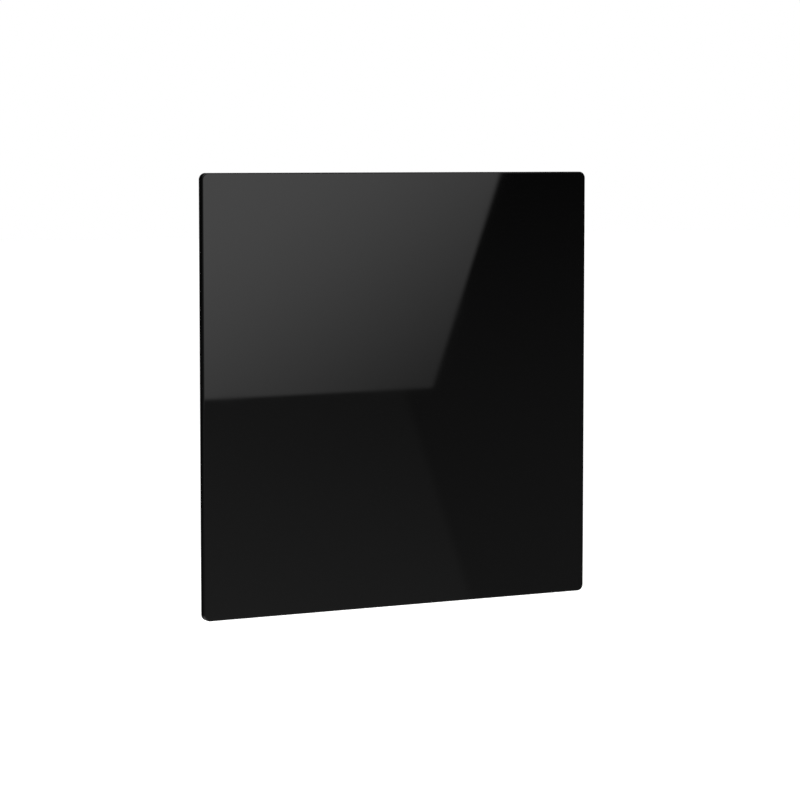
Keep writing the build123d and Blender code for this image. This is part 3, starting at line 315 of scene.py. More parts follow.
def makeGlass(name, g):
    material, tree, shader, place = startMaterial(name)
    grain = useGroup(tree, "grain", Vector=place, Scale=g["waveScale"], Clouds=g["smudges"])
    shader.inputs["Base Color"].default_value = g["enamel"]
    shader.inputs["IOR"].default_value = g["ior"]
    feed(tree, shader.inputs["Roughness"], remap(tree, grain["Variation"], 0.0, 1.0, *g["roughness"]))
    addBump(tree, shader, grain["Height"], g["waveDepth"])
    return material


# every other finish: two close tones, a texture, a roughness range, and wear or dust where it collects
finishes = {
    # near black, darker than the adhesive itself: partly its own black, partly painted shade of the
    # recessed gap between the two panes
    "interlayer": dict(
        tones=((0.0010, 0.0010, 0.0011), (0.0022, 0.0022, 0.0023)), rough=(0.22, 0.34),
        texture="grain", scale=700.0, depth=0.00001),
    "carbon_film": dict(
        tones=((0.012, 0.012, 0.013), (0.024, 0.024, 0.026)), rough=(0.45, 0.6),
        texture="grain", scale=300.0, depth=0.00001),
    "copper": dict(
        tones=((0.62, 0.33, 0.20), (0.76, 0.45, 0.30)), rough=(0.22, 0.38),
        texture="drawn", scale=1800.0, depth=0.000004, metallic=1.0, stretch=(1.0, 1.0, 0.03)),
    "bonding_tape": dict(
        tones=((0.045, 0.045, 0.048), (0.075, 0.075, 0.08)), rough=(0.8, 0.95),
        texture="grain", scale=2200.0, depth=0.00006),
    "rail_aluminium": dict(
        tones=((0.56, 0.57, 0.58), (0.66, 0.67, 0.68)), rough=(0.30, 0.42),
        texture="drawn", scale=3200.0, depth=0.000006, metallic=1.0, stretch=(1.0, 1.0, 0.012),
        wear=(0.80, 0.80, 0.80), wearRadius=0.0004, dust=0.10),
    "cap_plastic": dict(
        tones=((0.022, 0.022, 0.022), (0.034, 0.034, 0.034)), rough=(0.48, 0.62),
        texture="pebble", scale=2600.0, depth=0.00003, wear=(0.10, 0.10, 0.10), wearRadius=0.0004,
        dust=0.12),
    "zinc_steel": dict(
        tones=((0.48, 0.49, 0.50), (0.66, 0.67, 0.68)), rough=(0.22, 0.40),
        texture="grain", scale=1400.0, depth=0.000008, metallic=1.0, clouds=420.0,
        wear=(0.82, 0.82, 0.82), wearRadius=0.0003),
    "frame_paint": dict(
        tones=((0.026, 0.027, 0.029), (0.040, 0.041, 0.043)), rough=(0.34, 0.50),
        texture="pebble", scale=1300.0, depth=0.00009, wear=(0.11, 0.11, 0.11), wearRadius=0.0005,
        dust=0.16),
    "housing_plastic": dict(
        tones=((0.020, 0.020, 0.021), (0.031, 0.031, 0.033)), rough=(0.36, 0.54),
        texture="pebble", scale=2100.0, depth=0.00005, wear=(0.085, 0.085, 0.085), wearRadius=0.0004,
        dust=0.14),
    "gasket_rubber": dict(
        tones=((0.035, 0.035, 0.035), (0.055, 0.055, 0.055)), rough=(0.75, 0.9),
        texture="grain", scale=2600.0, depth=0.00004),
    "board_laminate": dict(
        tones=((0.010, 0.085, 0.040), (0.020, 0.135, 0.066)), rough=(0.28, 0.4),
        texture="grain", scale=1500.0, depth=0.00001, clouds=160.0),
    "terminal_plastic": dict(
        tones=((0.045, 0.22, 0.10), (0.065, 0.27, 0.13)), rough=(0.32, 0.44),
        texture="pebble", scale=2600.0, depth=0.00002),
    "component_black": dict(
        tones=((0.020, 0.020, 0.021), (0.034, 0.034, 0.036)), rough=(0.45, 0.6),
        texture="pebble", scale=3000.0, depth=0.00002),
    "capacitor_sleeve": dict(
        tones=((0.020, 0.025, 0.07), (0.035, 0.04, 0.10)), rough=(0.25, 0.36),
        texture="grain", scale=800.0, depth=0.00001),
    "suppressor_plastic": dict(
        tones=((0.60, 0.43, 0.09), (0.72, 0.54, 0.13)), rough=(0.3, 0.42),
        texture="grain", scale=1600.0, depth=0.00001),
    "shield_steel": dict(
        tones=((0.54, 0.54, 0.54), (0.66, 0.66, 0.66)), rough=(0.24, 0.36),
        texture="drawn", scale=2600.0, depth=0.000004, metallic=1.0, stretch=(0.05, 1.0, 1.0)),
    "silicone_wire": dict(
        tones=((0.28, 0.022, 0.022), (0.40, 0.035, 0.035)), rough=(0.5, 0.65),
        texture="grain", scale=1800.0, depth=0.00002),
    "cutout_ceramic": dict(
        tones=((0.68, 0.65, 0.58), (0.80, 0.77, 0.71)), rough=(0.45, 0.6),
        texture="grain", scale=1900.0, depth=0.00003),
    "spring_steel": dict(
        tones=((0.42, 0.42, 0.42), (0.56, 0.56, 0.56)), rough=(0.22, 0.34),
        texture="drawn", scale=2400.0, depth=0.000005, metallic=1.0, stretch=(0.04, 1.0, 1.0)),
    "switch_plastic": dict(
        tones=((0.014, 0.014, 0.015), (0.022, 0.022, 0.023)), rough=(0.18, 0.30),
        texture="grain", scale=1400.0, depth=0.000006, wear=(0.06, 0.06, 0.06), wearRadius=0.0002),
    "button_plastic": dict(
        tones=((0.50, 0.51, 0.52), (0.58, 0.59, 0.60)), rough=(0.34, 0.46),
        texture="pebble", scale=3600.0, depth=0.00001),
    "tab_brass": dict(
        tones=((0.70, 0.54, 0.27), (0.84, 0.67, 0.36)), rough=(0.25, 0.38),
        texture="drawn", scale=2600.0, depth=0.000004, metallic=1.0, stretch=(1.0, 1.0, 0.05)),
    "gland_nylon": dict(
        tones=((0.018, 0.018, 0.019), (0.030, 0.030, 0.032)), rough=(0.32, 0.46),
        texture="pebble", scale=2400.0, depth=0.00003, wear=(0.09, 0.09, 0.09), wearRadius=0.0003,
        dust=0.12),
    "seal_rubber": dict(
        tones=((0.020, 0.020, 0.020), (0.034, 0.034, 0.034)), rough=(0.7, 0.85),
        texture="grain", scale=2000.0, depth=0.00004),
}
variationOf = {"grain": "Variation", "pebble": "Cells", "drawn": "Streaks"}


def makeFinish(name, f):
    material, tree, shader, place = startMaterial(name)
    if "stretch" in f:
        place = stretched(tree, place, f["stretch"])
    inputs = {"Vector": place, "Scale": f["scale"]}
    if "clouds" in f:
        inputs["Clouds"] = f["clouds"]
    texture = useGroup(tree, f["texture"], **inputs)
    variation = texture[variationOf[f["texture"]]]
    dark, light = [(*tone, 1.0) for tone in f["tones"]]
    colour = blendColours(tree, variation, dark, light)
    roughness = remap(tree, variation, 0.0, 1.0, *f["rough"])
    if "wear" in f:
        worn = useGroup(tree, "edge", Vector=place, Radius=f["wearRadius"])["Mask"]
        colour = blendColours(tree, worn, colour, (*f["wear"], 1.0))
    if "dust" in f:
        settled = calc(tree, "MULTIPLY", useGroup(tree, "dust", Vector=place)["Mask"], f["dust"])
        colour = blendColours(tree, settled, colour, dust["colour"])
        roughness = calc(tree, "ADD", roughness, settled)
    feed(tree, shader.inputs["Base Color"], colour)
    feed(tree, shader.inputs["Roughness"], roughness)
    shader.inputs["Metallic"].default_value = f.get("metallic", 0.0)
    addBump(tree, shader, texture["Height"], f["depth"])
    return material


# clear mouldings: the status light's lens and its light pipe
clearFinish = {
    "colours": {"led_epoxy": (0.92, 0.94, 0.92, 1.0), "clear_acrylic": (0.95, 0.96, 0.97, 1.0)},
    "transmission": 0.85, "ior": 1.49,
    "scale": 600.0, "clouds": 300.0, "roughness": (0.05, 0.14),
}


def makeClear(name, colour, c):
    material, tree, shader, place = startMaterial(name)
    grain = useGroup(tree, "grain", Vector=place, Scale=c["scale"], Clouds=c["clouds"])
    shader.inputs["Base Color"].default_value = colour
    shader.inputs["Transmission Weight"].default_value = c["transmission"]
    shader.inputs["IOR"].default_value = c["ior"]
    feed(tree, shader.inputs["Roughness"], remap(tree, grain["Variation"], 0.0, 1.0, *c["roughness"]))
    return material


looks = {"black_glass": makeGlass("black_glass_look", glassFinish)}
looks.update({slot: makeFinish(slot + "_look", f) for slot, f in finishes.items()})
looks.update({slot: makeClear(slot + "_look", colour, clearFinish)
              for slot, colour in clearFinish["colours"].items()})
for part in frame["record"]["subparts"]:
    mesh = nodes[part["node"]].data
    mesh.materials.clear()
    mesh.materials.append(looks[part["material_slot"]])
print("materials made:", len(looks))


# helpers for modelling
touching = 1e-7  # closer than this is on a plane, or one and the same place
weld = 2e-6  # vertices of a finished piece that are closer than this are made one
sharpAngle = 35.0  # degrees between faces past which an edge isn't shaded smooth


def edgesWhere(bm, test):
    return [edge for edge in bm.edges if test(edge)]


def bevelEdges(bm, edges, offset, segments):
    bmesh.ops.bevel(bm, geom=edges, offset=offset, offset_type="OFFSET", segments=segments, profile=0.5,
                    affect="EDGES", material=-1, clamp_overlap=True)


def spinProfile(bm, points, centre, axis, steps):
    # points are (radius, distance along the axis), from one end to the other
    axis = Vector(axis).normalized()
    side = axis.orthogonal().normalized()
    verts = [bm.verts.new(Vector(centre) + side * radius + axis * along) for radius, along in points]
    edges = [bm.edges.new(pair) for pair in zip(verts, verts[1:])]
    bmesh.ops.spin(bm, geom=verts + edges, cent=centre, axis=axis, angle=math.tau, steps=steps,
                   use_merge=True)
    bmesh.ops.remove_doubles(bm, verts=bm.verts, dist=touching)


def everything(bm):
    return bm.verts[:] + bm.edges[:] + bm.faces[:]


def cutFlats(bm, centre, axis, acrossFlats, first):
    # six flats round the axis, the first one's normal given
    for turn in range(6):
        normal = Matrix.Rotation(math.tau * turn / 6, 3, Vector(axis)) @ Vector(first)
        cut = bmesh.ops.bisect_plane(bm, geom=everything(bm), dist=touching,
                                     plane_co=Vector(centre) + normal * acrossFlats / 2, plane_no=normal,
                                     clear_outer=True)
        rim = [item for item in cut["geom_cut"] if isinstance(item, bmesh.types.BMEdge)]
        bmesh.ops.holes_fill(bm, edges=rim, sides=0)


def pushCross(bm, centre, axis, width, depth, taper):
    # a cross recess in the flat disc at centre: cut in nine, the middle and the four arms pushed in
    axis, centre = Vector(axis), Vector(centre)
    near = depth * 3
    across = [axis.orthogonal().normalized()]
    across.append(axis.cross(across[0]))

    def disc():
        level = [face for face in bm.faces
                 if all(abs((v.co - centre).dot(axis)) < touching for v in face.verts)]
        return [face for face in level if (face.calc_center_median() - centre).length < near]

    for normal in across:
        for side in (-1, 1):
            faces = disc()
            edges = {edge for face in faces for edge in face.edges}
            verts = {v for face in faces for v in face.verts}
            bmesh.ops.bisect_plane(bm, geom=[*faces, *edges, *verts], dist=touching,
                                   plane_co=centre + normal * side * width / 2, plane_no=normal)
    arms = []
    for face in disc():
        middle = face.calc_center_median() - centre
        if min(abs(middle.dot(normal)) for normal in across) < width / 2:
            arms.append(face)
    pushed = bmesh.ops.extrude_face_region(bm, geom=arms)["geom"]
    bmesh.ops.delete(bm, geom=[face for face in arms if face.is_valid], context="FACES")
    verts = [item for item in pushed if isinstance(item, bmesh.types.BMVert)]
    bmesh.ops.translate(bm, vec=-axis * depth, verts=verts)
    bmesh.ops.scale(bm, vec=(taper, taper, taper), verts=verts,
                    space=Matrix.Translation(axis * depth - centre))


def mergeInto(bm, one):
    # adds a finished bmesh to another and frees it
    mesh = bpy.data.meshes.new("part")
    one.to_mesh(mesh)
    one.free()
    bm.from_mesh(mesh)
    bpy.data.meshes.remove(mesh)


def finishPiece(name, bm, slot, body, replaced, sharp=sharpAngle):
    bmesh.ops.remove_doubles(bm, verts=bm.verts, dist=weld)
    bmesh.ops.recalc_face_normals(bm, faces=bm.faces)
    mesh = bpy.data.meshes.new(name)
    bm.to_mesh(mesh)
    bm.free()
    mesh.shade_smooth()
    mesh.set_sharp_from_angle(angle=math.radians(sharp))
    mesh.materials.append(looks[slot])
    obj = bpy.data.objects.new(name, mesh)
    scene.collection.objects.link(obj)
    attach(obj, body)
    if replaced:
        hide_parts(*replaced)
    return obj


# the two panes: rounded corners, a polished round edge outside and a small arris inside
pane = {
    "corner": (0.009, 20),  # each rounding's radius and steps
    "round": (0.0016, 10),
    "arris": (0.0004, 2),
    "holeSteps": 64,
    "holeInset": 0.02,  # a vertex this far inside the outline belongs to the hole
    "level": 1e-6,  # how near a face's plane its rim lies
    "facing": 0.9999,  # cosine past which a face looks straight out
    "sharp": 30.0,  # in degrees, as sharpAngle
}


def findHole(node, inset):
    # middle and radius of the round hole inside a flat node's outline, or None
    low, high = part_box(node)
    inner = [v.co for v in nodes[node].data.vertices
             if low.x + inset < v.co.x < high.x - inset and low.z + inset < v.co.z < high.z - inset]
    if not inner:
        return None
    left, right = min(co.x for co in inner), max(co.x for co in inner)
    foot, head = min(co.z for co in inner), max(co.z for co in inner)
    return (left + right) / 2, (foot + head) / 2, (right - left) / 2


def cutHole(bm, hole, steps, facing):
    # the two flat faces are filled again round the hole, whose wall joins them
    x, z, radius = hole
    rims = []
    for face in [face for face in bm.faces if abs(face.normal.y) > facing]:
        level, normal, outline = face.verts[0].co.y, face.normal.copy(), face.edges[:]
        bmesh.ops.delete(bm, geom=[face], context="FACES_ONLY")
        place = Matrix.Translation((x, level, z)) @ Matrix.Rotation(math.pi / 2, 4, "X")
        circle = bmesh.ops.create_circle(bm, segments=steps, radius=radius, matrix=place)["verts"]
        rim = list({edge for v in circle for edge in v.link_edges})
        bmesh.ops.triangle_fill(bm, edges=outline + rim, use_beauty=True, normal=normal)
        rims += rim
    bmesh.ops.bridge_loops(bm, edges=rims)


def makePane(name, node, outside, p):
    low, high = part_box(node)
    size = high - low
    bm = bmesh.new()
    bmesh.ops.create_cube(bm, size=1.0)
    bmesh.ops.scale(bm, vec=size, verts=bm.verts)
    bmesh.ops.translate(bm, vec=(low + high) / 2, verts=bm.verts)
    across = edgesWhere(bm, lambda e: abs(e.verts[0].co.y - e.verts[1].co.y) > size.y / 2)
    bevelEdges(bm, across, *p["corner"])
    # rounded on the side that looks out (-1 front, +1 rear), eased on the one against the laminate
    for side, level in ((-1, low.y), (1, high.y)):
        rim = edgesWhere(bm, lambda e: all(abs(v.co.y - level) < p["level"] for v in e.verts))
        bevelEdges(bm, rim, *(p["round"] if side == outside else p["arris"]))
    bm.normal_update()
    hole = findHole(node, p["holeInset"])
    if hole:
        cutHole(bm, hole, p["holeSteps"], p["facing"])
    obj = finishPiece(name, bm, "black_glass", "panel", [node], sharp=p["sharp"])
    obj.modifiers.new("flatNormals", "WEIGHTED_NORMAL").keep_sharp = True


makePane("frontPane", "front_glass", -1, pane)
makePane("rearPane", "rear_glass", 1, pane)
print("panes made")


def copiesOf(node):
    # the middles of a node's separate solids, across and up, from the left
    bm = bmesh.new()
    bm.from_mesh(nodes[node].data)
    bmesh.ops.remove_doubles(bm, verts=bm.verts, dist=touching)
    middles, rest = [], set(bm.verts)
    while rest:
        island, rim = set(), {rest.pop()}
        while rim:
            island |= rim
            rim = {other for v in rim for e in v.link_edges for other in e.verts} - island
        rest -= island
        spans = [[v.co[axis] for v in island] for axis in (0, 2)]
        middles.append(tuple((min(span) + max(span)) / 2 for span in spans))
    bm.free()
    return sorted(middles)


# lid screws: pan heads with a cross recess, sunk flush in the lid
lidScrew = {
    "out": 0.005,  # from the wall to the head's top
    "profile": [  # radius, and depth below the head's top, from the tip to the recess
        (0.0, 0.0140), (0.0007, 0.0140), (0.0013, 0.0128), (0.0013, 0.0013), (0.0028, 0.0013),
        (0.0028, 0.0008), (0.0027, 0.00055), (0.0024, 0.0003), (0.0020, 0.00012), (0.0016, 0.00003),
        (0.00145, 0.0),
    ],
    "recess": 0.00062, "recessDepth": 0.0009, "taper": 0.72, "steps": 48,
}


def makeLidScrews(s):
    bm = bmesh.new()
    profile = [(radius, -depth) for radius, depth in s["profile"]]
    for x, z in copiesOf("lid_screws"):
        top = (x, -s["out"], z)
        one = bmesh.new()
        spinProfile(one, profile, top, (0, 1, 0), s["steps"])
        bmesh.ops.holes_fill(one, edges=[e for e in one.edges if e.is_boundary], sides=0)
        pushCross(one, top, (0, 1, 0), s["recess"], s["recessDepth"], s["taper"])
        mergeInto(bm, one)
    finishPiece("lidScrews", bm, "zinc_steel", "panel", ["lid_screws"])


# blind rivets: a domed head with the mandrel's pit, and the set tail behind
rivet = {
    "out": 0.002,  # from the wall to the tail's end
    "profile": [  # radius, and distance from the tail's end
        (0.0, 0.00008), (0.0008, 0.0), (0.00095, 0.00022), (0.0017, 0.00012), (0.0023, 0.0003),
        (0.0026, 0.0007), (0.0025, 0.0010), (0.0016, 0.0010), (0.0016, 0.0040), (0.0032, 0.0040),
        (0.0032, 0.00422), (0.00305, 0.0045), (0.0026, 0.00482), (0.0020, 0.00502), (0.0014, 0.0051),
        (0.00112, 0.00505), (0.00098, 0.0048), (0.00095, 0.0043), (0.0005, 0.00418), (0.0, 0.0043),
    ],
    "steps": 40,
}


def makeRivets(r):
    bm = bmesh.new()
    for x, z in copiesOf("frame_rivets"):
        one = bmesh.new()
        spinProfile(one, r["profile"], (x, -r["out"], z), (0, -1, 0), r["steps"])
        mergeInto(bm, one)
    finishPiece("frameRivets", bm, "zinc_steel", "wall_frame", ["frame_rivets"])


# cable gland: turned from round bar with six flats cut on, so the hexagons' corners have curved chamfers
gland = {
    "flats": 0.019, "steps": 96,
    "dome": [  # radius, and distance from the end at the flange, once round the section
        (0.0076, 0.0), (0.0103, 0.0), (0.01097, 0.00045), (0.01097, 0.0056), (0.0104, 0.0066),
        (0.0096, 0.0072), (0.0093, 0.0080), (0.0092, 0.0090), (0.0089, 0.0100), (0.0083, 0.0110),
        (0.0074, 0.0118), (0.0063, 0.0123), (0.0053, 0.0125), (0.0047, 0.0125), (0.0044, 0.0122),
        (0.0044, 0.0095), (0.0076, 0.0095), (0.0076, 0.0),
    ],
    "body": [  # radius, and distance from the tail's end
        (0.0050, 0.0), (0.0072, 0.0), (0.0076, 0.0004), (0.0076, 0.0100), (0.0102, 0.0100),
        (0.01097, 0.0105), (0.01097, 0.0145), (0.0102, 0.0150), (0.0075, 0.0150), (0.0075, 0.0247),
        (0.0072, 0.0250), (0.00625, 0.0250), (0.00625, 0.0160), (0.0050, 0.0160), (0.0050, 0.0),
    ],
}


def makeGland(g):
    for name, node, profile in (("glandDome", "gland_dome", g["dome"]),
                                ("glandBody", "gland_body", g["body"])):
        low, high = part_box(node)
        end = Vector((high.x, (low.y + high.y) / 2, (low.z + high.z) / 2))
        bm = bmesh.new()
        spinProfile(bm, profile, end, (-1, 0, 0), g["steps"])
        cutFlats(bm, end, (1, 0, 0), g["flats"], (0, 1, 0))
        finishPiece(name, bm, "gland_nylon", "panel", [node])


# pad-printed marks on the rocker: a bar for on and a ring for off
rockerMark = {
    "pivot": (0.222, -0.0171, -0.277),
    "tilt": 9.0,  # of the rocker at rest, in degrees
    "slope": 9.27,  # of each half of its face
    "reach": 0.0042, "sink": 0.00289,  # from the pivot to each mark, sideways and down
    "bar": (0.0006, 0.0032), "barRound": 0.00027, "barSteps": 4,
    "ring": (0.0016, 0.0011), "ringSteps": 48,
    "thick": 0.00004,
}


def makeRockerMarks(m):
    bm = bmesh.new()
    half = m["thick"] / 2
    for side in (-1, 1):
        one = bmesh.new()
        if side < 0:
            bmesh.ops.create_cube(one, size=1.0)
            bmesh.ops.scale(one, vec=(*m["bar"], m["thick"]), verts=one.verts)
            upright = edgesWhere(one, lambda e: abs(e.verts[0].co.z - e.verts[1].co.z) > half)
            bevelEdges(one, upright, m["barRound"], m["barSteps"])
        else:
            outer, inner = m["ring"]
            section = [(inner, -half), (outer, -half), (outer, half), (inner, half), (inner, -half)]
            spinProfile(one, section, (0, 0, 0), (0, 0, 1), m["ringSteps"])
        # on the rocker's sloping face, then with the rocker's own tilt about its pivot
        place = (Matrix.Translation(m["pivot"]) @ Matrix.Rotation(math.radians(-m["tilt"]), 4, "Y")
                 @ Matrix.Translation((side * m["reach"], 0, -m["sink"]))
                 @ Matrix.Rotation(math.radians(side * m["slope"]), 4, "Y"))
        bmesh.ops.transform(one, matrix=place, verts=one.verts)
        mergeInto(bm, one)
    finishPiece("rockerMarks", bm, "button_plastic", "rocker", [])


makeLidScrews(lidScrew)
makeRivets(rivet)
makeGland(gland)
makeRockerMarks(rockerMark)
print("fasteners, gland and marks made")


# studio: what the glass mirrors, the lamps, the backdrop and the floor
white = (1.0, 1.0, 1.0, 1.0)


def addPlane(name, centre, size, normal):
    bm = bmesh.new()
    bmesh.ops.create_grid(bm, x_segments=1, y_segments=1, size=0.5)
    bmesh.ops.scale(bm, vec=(size[0], size[1], 1.0), verts=bm.verts)
    turn = Vector(normal).to_track_quat("Z", "Y").to_matrix()
    bmesh.ops.rotate(bm, cent=(0, 0, 0), matrix=turn, verts=bm.verts)
    bmesh.ops.translate(bm, vec=centre, verts=bm.verts)
    mesh = bpy.data.meshes.new(name)
    bm.to_mesh(mesh)
    bm.free()
    obj = bpy.data.objects.new(name, mesh)
    scene.collection.objects.link(obj)
    return obj


def blendShaders(tree, factor, a, b):
    node = newNode(tree, "ShaderNodeMixShader")
    for index, value in enumerate((factor, a, b)):
        feed(tree, node.inputs[index], value)
    return node.outputs[0]


def onlyMirrored(obj):
    for ray in ("camera", "diffuse", "shadow", "transmission", "volume_scatter"):
        setattr(obj, "visible_" + ray, False)


# the softbox and the dim wall beside it, as the glass mirrors them
softbox = {
    "out": 2.5423,  # from the wall
    "left": -2.60, "right": 3.60, "bottom": -2.00, "top": 1.50,
    "fade": 0.45,
    "corner": (0.8884, 0.2663),  # where its light is strongest
    "peak": 1.35, "wide": 1.1627, "tall": 0.735, "skew": 2.014,
    "upward": 0.4,  # how much slower it falls off above the corner
    "spill": (-0.35, 0.87), "spillLevel": 0.22,  # and left of it
    "lowLeft": (0.8779, -0.2306), "lowRight": (1.4814, -0.2264), "lowSoftness": 0.0055,
    "slantFoot": (1.4719, -0.2272), "slantHead": (1.6566, 0.2796), "slantSoftness": 0.008,
    "wallAt": -0.2267, "wallDim": 0.103, "wallSlope": -0.118, "wallLeast": 0.035,
    "wallEnd": (1.92, 2.35), "wallEndLevel": 0.45,
    "poolFoot": (1.4094, -0.2697), "poolTail": (1.5753, -0.7339), "poolSoftness": 0.018,
    "pool": 0.064, "poolDown": 0.070, "poolAcross": -0.055,
    "floor": 0.34, "floorFall": (-0.78, -1.60),
}
# a second, weaker one further left, which shows from the panel's right
secondBox = {
    "lowLeft": (-2.2, -0.66), "lowRight": (-0.8, -0.44),
    "slantFoot": (-1.28, -0.50), "slantHead": (-1.02, 0.50),
    "softness": 0.014, "level": 0.75, "reach": (-2.3, -1.0), "farLevel": 0.25,
}


def sideOf(tree, x, z, start, end, softness):
    # 1 on the left of the line from start to end, 0 on its right
    dx, dz = end[0] - start[0], end[1] - start[1]
    length = math.hypot(dx, dz)
    a, b = -dz / length, dx / length
    offset = -(a * start[0] + b * start[1])
    distance = calc(tree, "ADD", calc(tree, "MULTIPLY_ADD", x, a, offset), calc(tree, "MULTIPLY", z, b))
    return remap(tree, distance, -softness, softness, smooth=True)


def cornerGlow(tree, x, z, s):
    # falls off with distance from its strongest corner
    across = calc(tree, "MAXIMUM", calc(tree, "SUBTRACT", x, s["corner"][0]), 0.0)
    down = calc(tree, "SUBTRACT", s["corner"][1], z)
    down = calc(tree, "MAXIMUM", down, calc(tree, "MULTIPLY", down, s["upward"]))
    wide = calc(tree, "POWER", calc(tree, "ABSOLUTE", calc(tree, "DIVIDE", across, s["wide"])), 2.0)
    tall = calc(tree, "POWER", calc(tree, "ABSOLUTE", calc(tree, "DIVIDE", down, s["tall"])), 2.0)
    skew = calc(tree, "MULTIPLY", calc(tree, "MULTIPLY", across, down), s["skew"])
    fall = calc(tree, "ADD", calc(tree, "ADD", wide, tall), skew)
    glow = calc(tree, "EXPONENT", calc(tree, "MULTIPLY", fall, -1.0))
    glow = calc(tree, "MULTIPLY", glow, s["peak"])
    spill = remap(tree, x, *s["spill"], s["spillLevel"], 1.0, smooth=True)
    return calc(tree, "MULTIPLY", glow, spill)


def dimWall(tree, x, z, s):
    # the wall under the softbox, the paler pool low on its left, and the floor
    wall = calc(tree, "SUBTRACT", z, s["wallAt"])
    wall = calc(tree, "MULTIPLY_ADD", wall, s["wallSlope"], s["wallDim"])
    wall = calc(tree, "MAXIMUM", wall, s["wallLeast"])
    wallEnd = remap(tree, x, *s["wallEnd"], 1.0, s["wallEndLevel"], smooth=True)
    wall = calc(tree, "MULTIPLY", wall, wallEnd)
    pool = calc(tree, "SUBTRACT", s["poolFoot"][1], z)
    pool = calc(tree, "MULTIPLY_ADD", pool, s["poolDown"], s["pool"])
    across = calc(tree, "MAXIMUM", calc(tree, "SUBTRACT", x, s["corner"][0]), 0.0)
    pool = calc(tree, "MULTIPLY_ADD", across, s["poolAcross"], pool)
    inPool = sideOf(tree, x, z, s["poolTail"], s["poolFoot"], s["poolSoftness"])
    wall = calc(tree, "MULTIPLY_ADD", pool, inPool, wall)
    return calc(tree, "ADD", wall, remap(tree, z, *s["floorFall"], 0.0, s["floor"], smooth=True))


def borderFade(tree, x, z, s):
    # 0 at the card's borders, where it gives way to the studio behind it, and 1 further in
    nearest = None
    for along, low, high in ((x, "left", "right"), (z, "bottom", "top")):
        fromLow, fromHigh = calc(tree, "SUBTRACT", along, s[low]), calc(tree, "SUBTRACT", s[high], along)
        inside = calc(tree, "MINIMUM", fromLow, fromHigh)
        nearest = inside if nearest is None else calc(tree, "MINIMUM", nearest, inside)
    return remap(tree, nearest, 0.0, s["fade"], smooth=True)


def makeSoftbox(s, second):
    centre = ((s["left"] + s["right"]) / 2, -s["out"], (s["bottom"] + s["top"]) / 2)
    size = (s["right"] - s["left"], s["top"] - s["bottom"])
    card = addPlane("mirroredSoftbox", centre, size, (0, 1, 0))
    onlyMirrored(card)
    material = bpy.data.materials.new("softboxLight")
    material.use_nodes = True
    tree = material.node_tree
    tree.nodes.clear()
    axes = newNode(tree, "ShaderNodeSeparateXYZ")
    feed(tree, axes.inputs[0], newNode(tree, "ShaderNodeTexCoord").outputs["Object"])
    x, z = axes.outputs["X"], axes.outputs["Z"]

    lit = calc(tree, "MULTIPLY",
               sideOf(tree, x, z, s["slantFoot"], s["slantHead"], s["slantSoftness"]),
               sideOf(tree, x, z, s["lowLeft"], s["lowRight"], s["lowSoftness"]))
    level = blendValues(tree, lit, dimWall(tree, x, z, s), cornerGlow(tree, x, z, s))
    beside = calc(tree, "MULTIPLY",
                  sideOf(tree, x, z, second["slantFoot"], second["slantHead"], second["softness"]),
                  sideOf(tree, x, z, second["lowLeft"], second["lowRight"], second["softness"]))
    farLevel = second["farLevel"] * second["level"]
    besideGlow = remap(tree, x, *second["reach"], farLevel, second["level"], smooth=True)
    level = blendValues(tree, beside, level, besideGlow)

    light = newNode(tree, "ShaderNodeEmission")
    feed(tree, light.inputs["Strength"], level)
    surface = blendShaders(tree, borderFade(tree, x, z, s),
                           newNode(tree, "ShaderNodeBsdfTransparent").outputs[0], light.outputs[0])
    feed(tree, newNode(tree, "ShaderNodeOutputMaterial").inputs["Surface"], surface)
    card.data.materials.append(material)


makeSoftbox(softbox, secondBox)

# soft lamps, all turned to the object's middle
lamps = [
    {"name": "keyLamp", "place": (-1.9, -2.6, 1.9), "size": 1.8, "power": 42.0},
    {"name": "fillLamp", "place": (2.4, -2.2, 0.9), "size": 1.8, "power": 26.0},
    {"name": "topLamp", "place": (0.0, 0.2, 2.7), "size": 2.2, "power": 30.0},
    {"name": "rearLamp", "place": (1.7, 2.6, 1.3), "size": 1.8, "power": 46.0},
    {"name": "rearFill", "place": (-2.2, 2.3, 0.4), "size": 1.6, "power": 26.0},
]


def addLamp(lamp):
    data = bpy.data.lights.new(lamp["name"], "AREA")
    data.shape = "SQUARE"
    data.size = lamp["size"]
    data.energy = lamp["power"]
    obj = bpy.data.objects.new(lamp["name"], data)
    obj.location = lamp["place"]
    obj.rotation_euler = (-Vector(lamp["place"])).to_track_quat("-Z", "Y").to_euler()
    obj.visible_camera = False
    obj.visible_glossy = False
    scene.collection.objects.link(obj)


for lamp in lamps:
    addLamp(lamp)

# what mirrored rays meet further off: black flags behind the panel, a pale studio round them
room = {  # levels, and the heights (sines of elevation) between which each comes in
    "ambient": 0.5,
    "front": 0.09,
    "apron": 0.50, "apronFall": (-0.24, -1.00),  # the floor in front
    "flags": (0.013, 0.048), "flagsFall": (-0.02, -0.15),
    "floor": 0.52, "floorFall": (-0.16, -0.60),  # the floor behind, under the flags
    "aside": 0.42, "asideFall": (-0.16, -0.36), "asideTurn": (27.0, 42.0),  # and on both sides
    "flagMiddle": 18.0, "flagHalf": 78.0, "flagFade": 30.0,  # degrees round the wall's normal
    "behind": 0.80, "turn": (-0.15, 0.25),  # beyond the flags, and where front gives way to behind
    "above": 0.45, "aboveRise": (0.45, 0.95),
    "sky": 0.50, "skyRise": (0.45, 0.70),  # more of it behind
}


def seenDirectly(tree, rays):
    # 1 for camera rays and for those that pass through clear pieces
    return calc(tree, "MAXIMUM", rays["Is Camera Ray"], rays["Is Transmission Ray"])


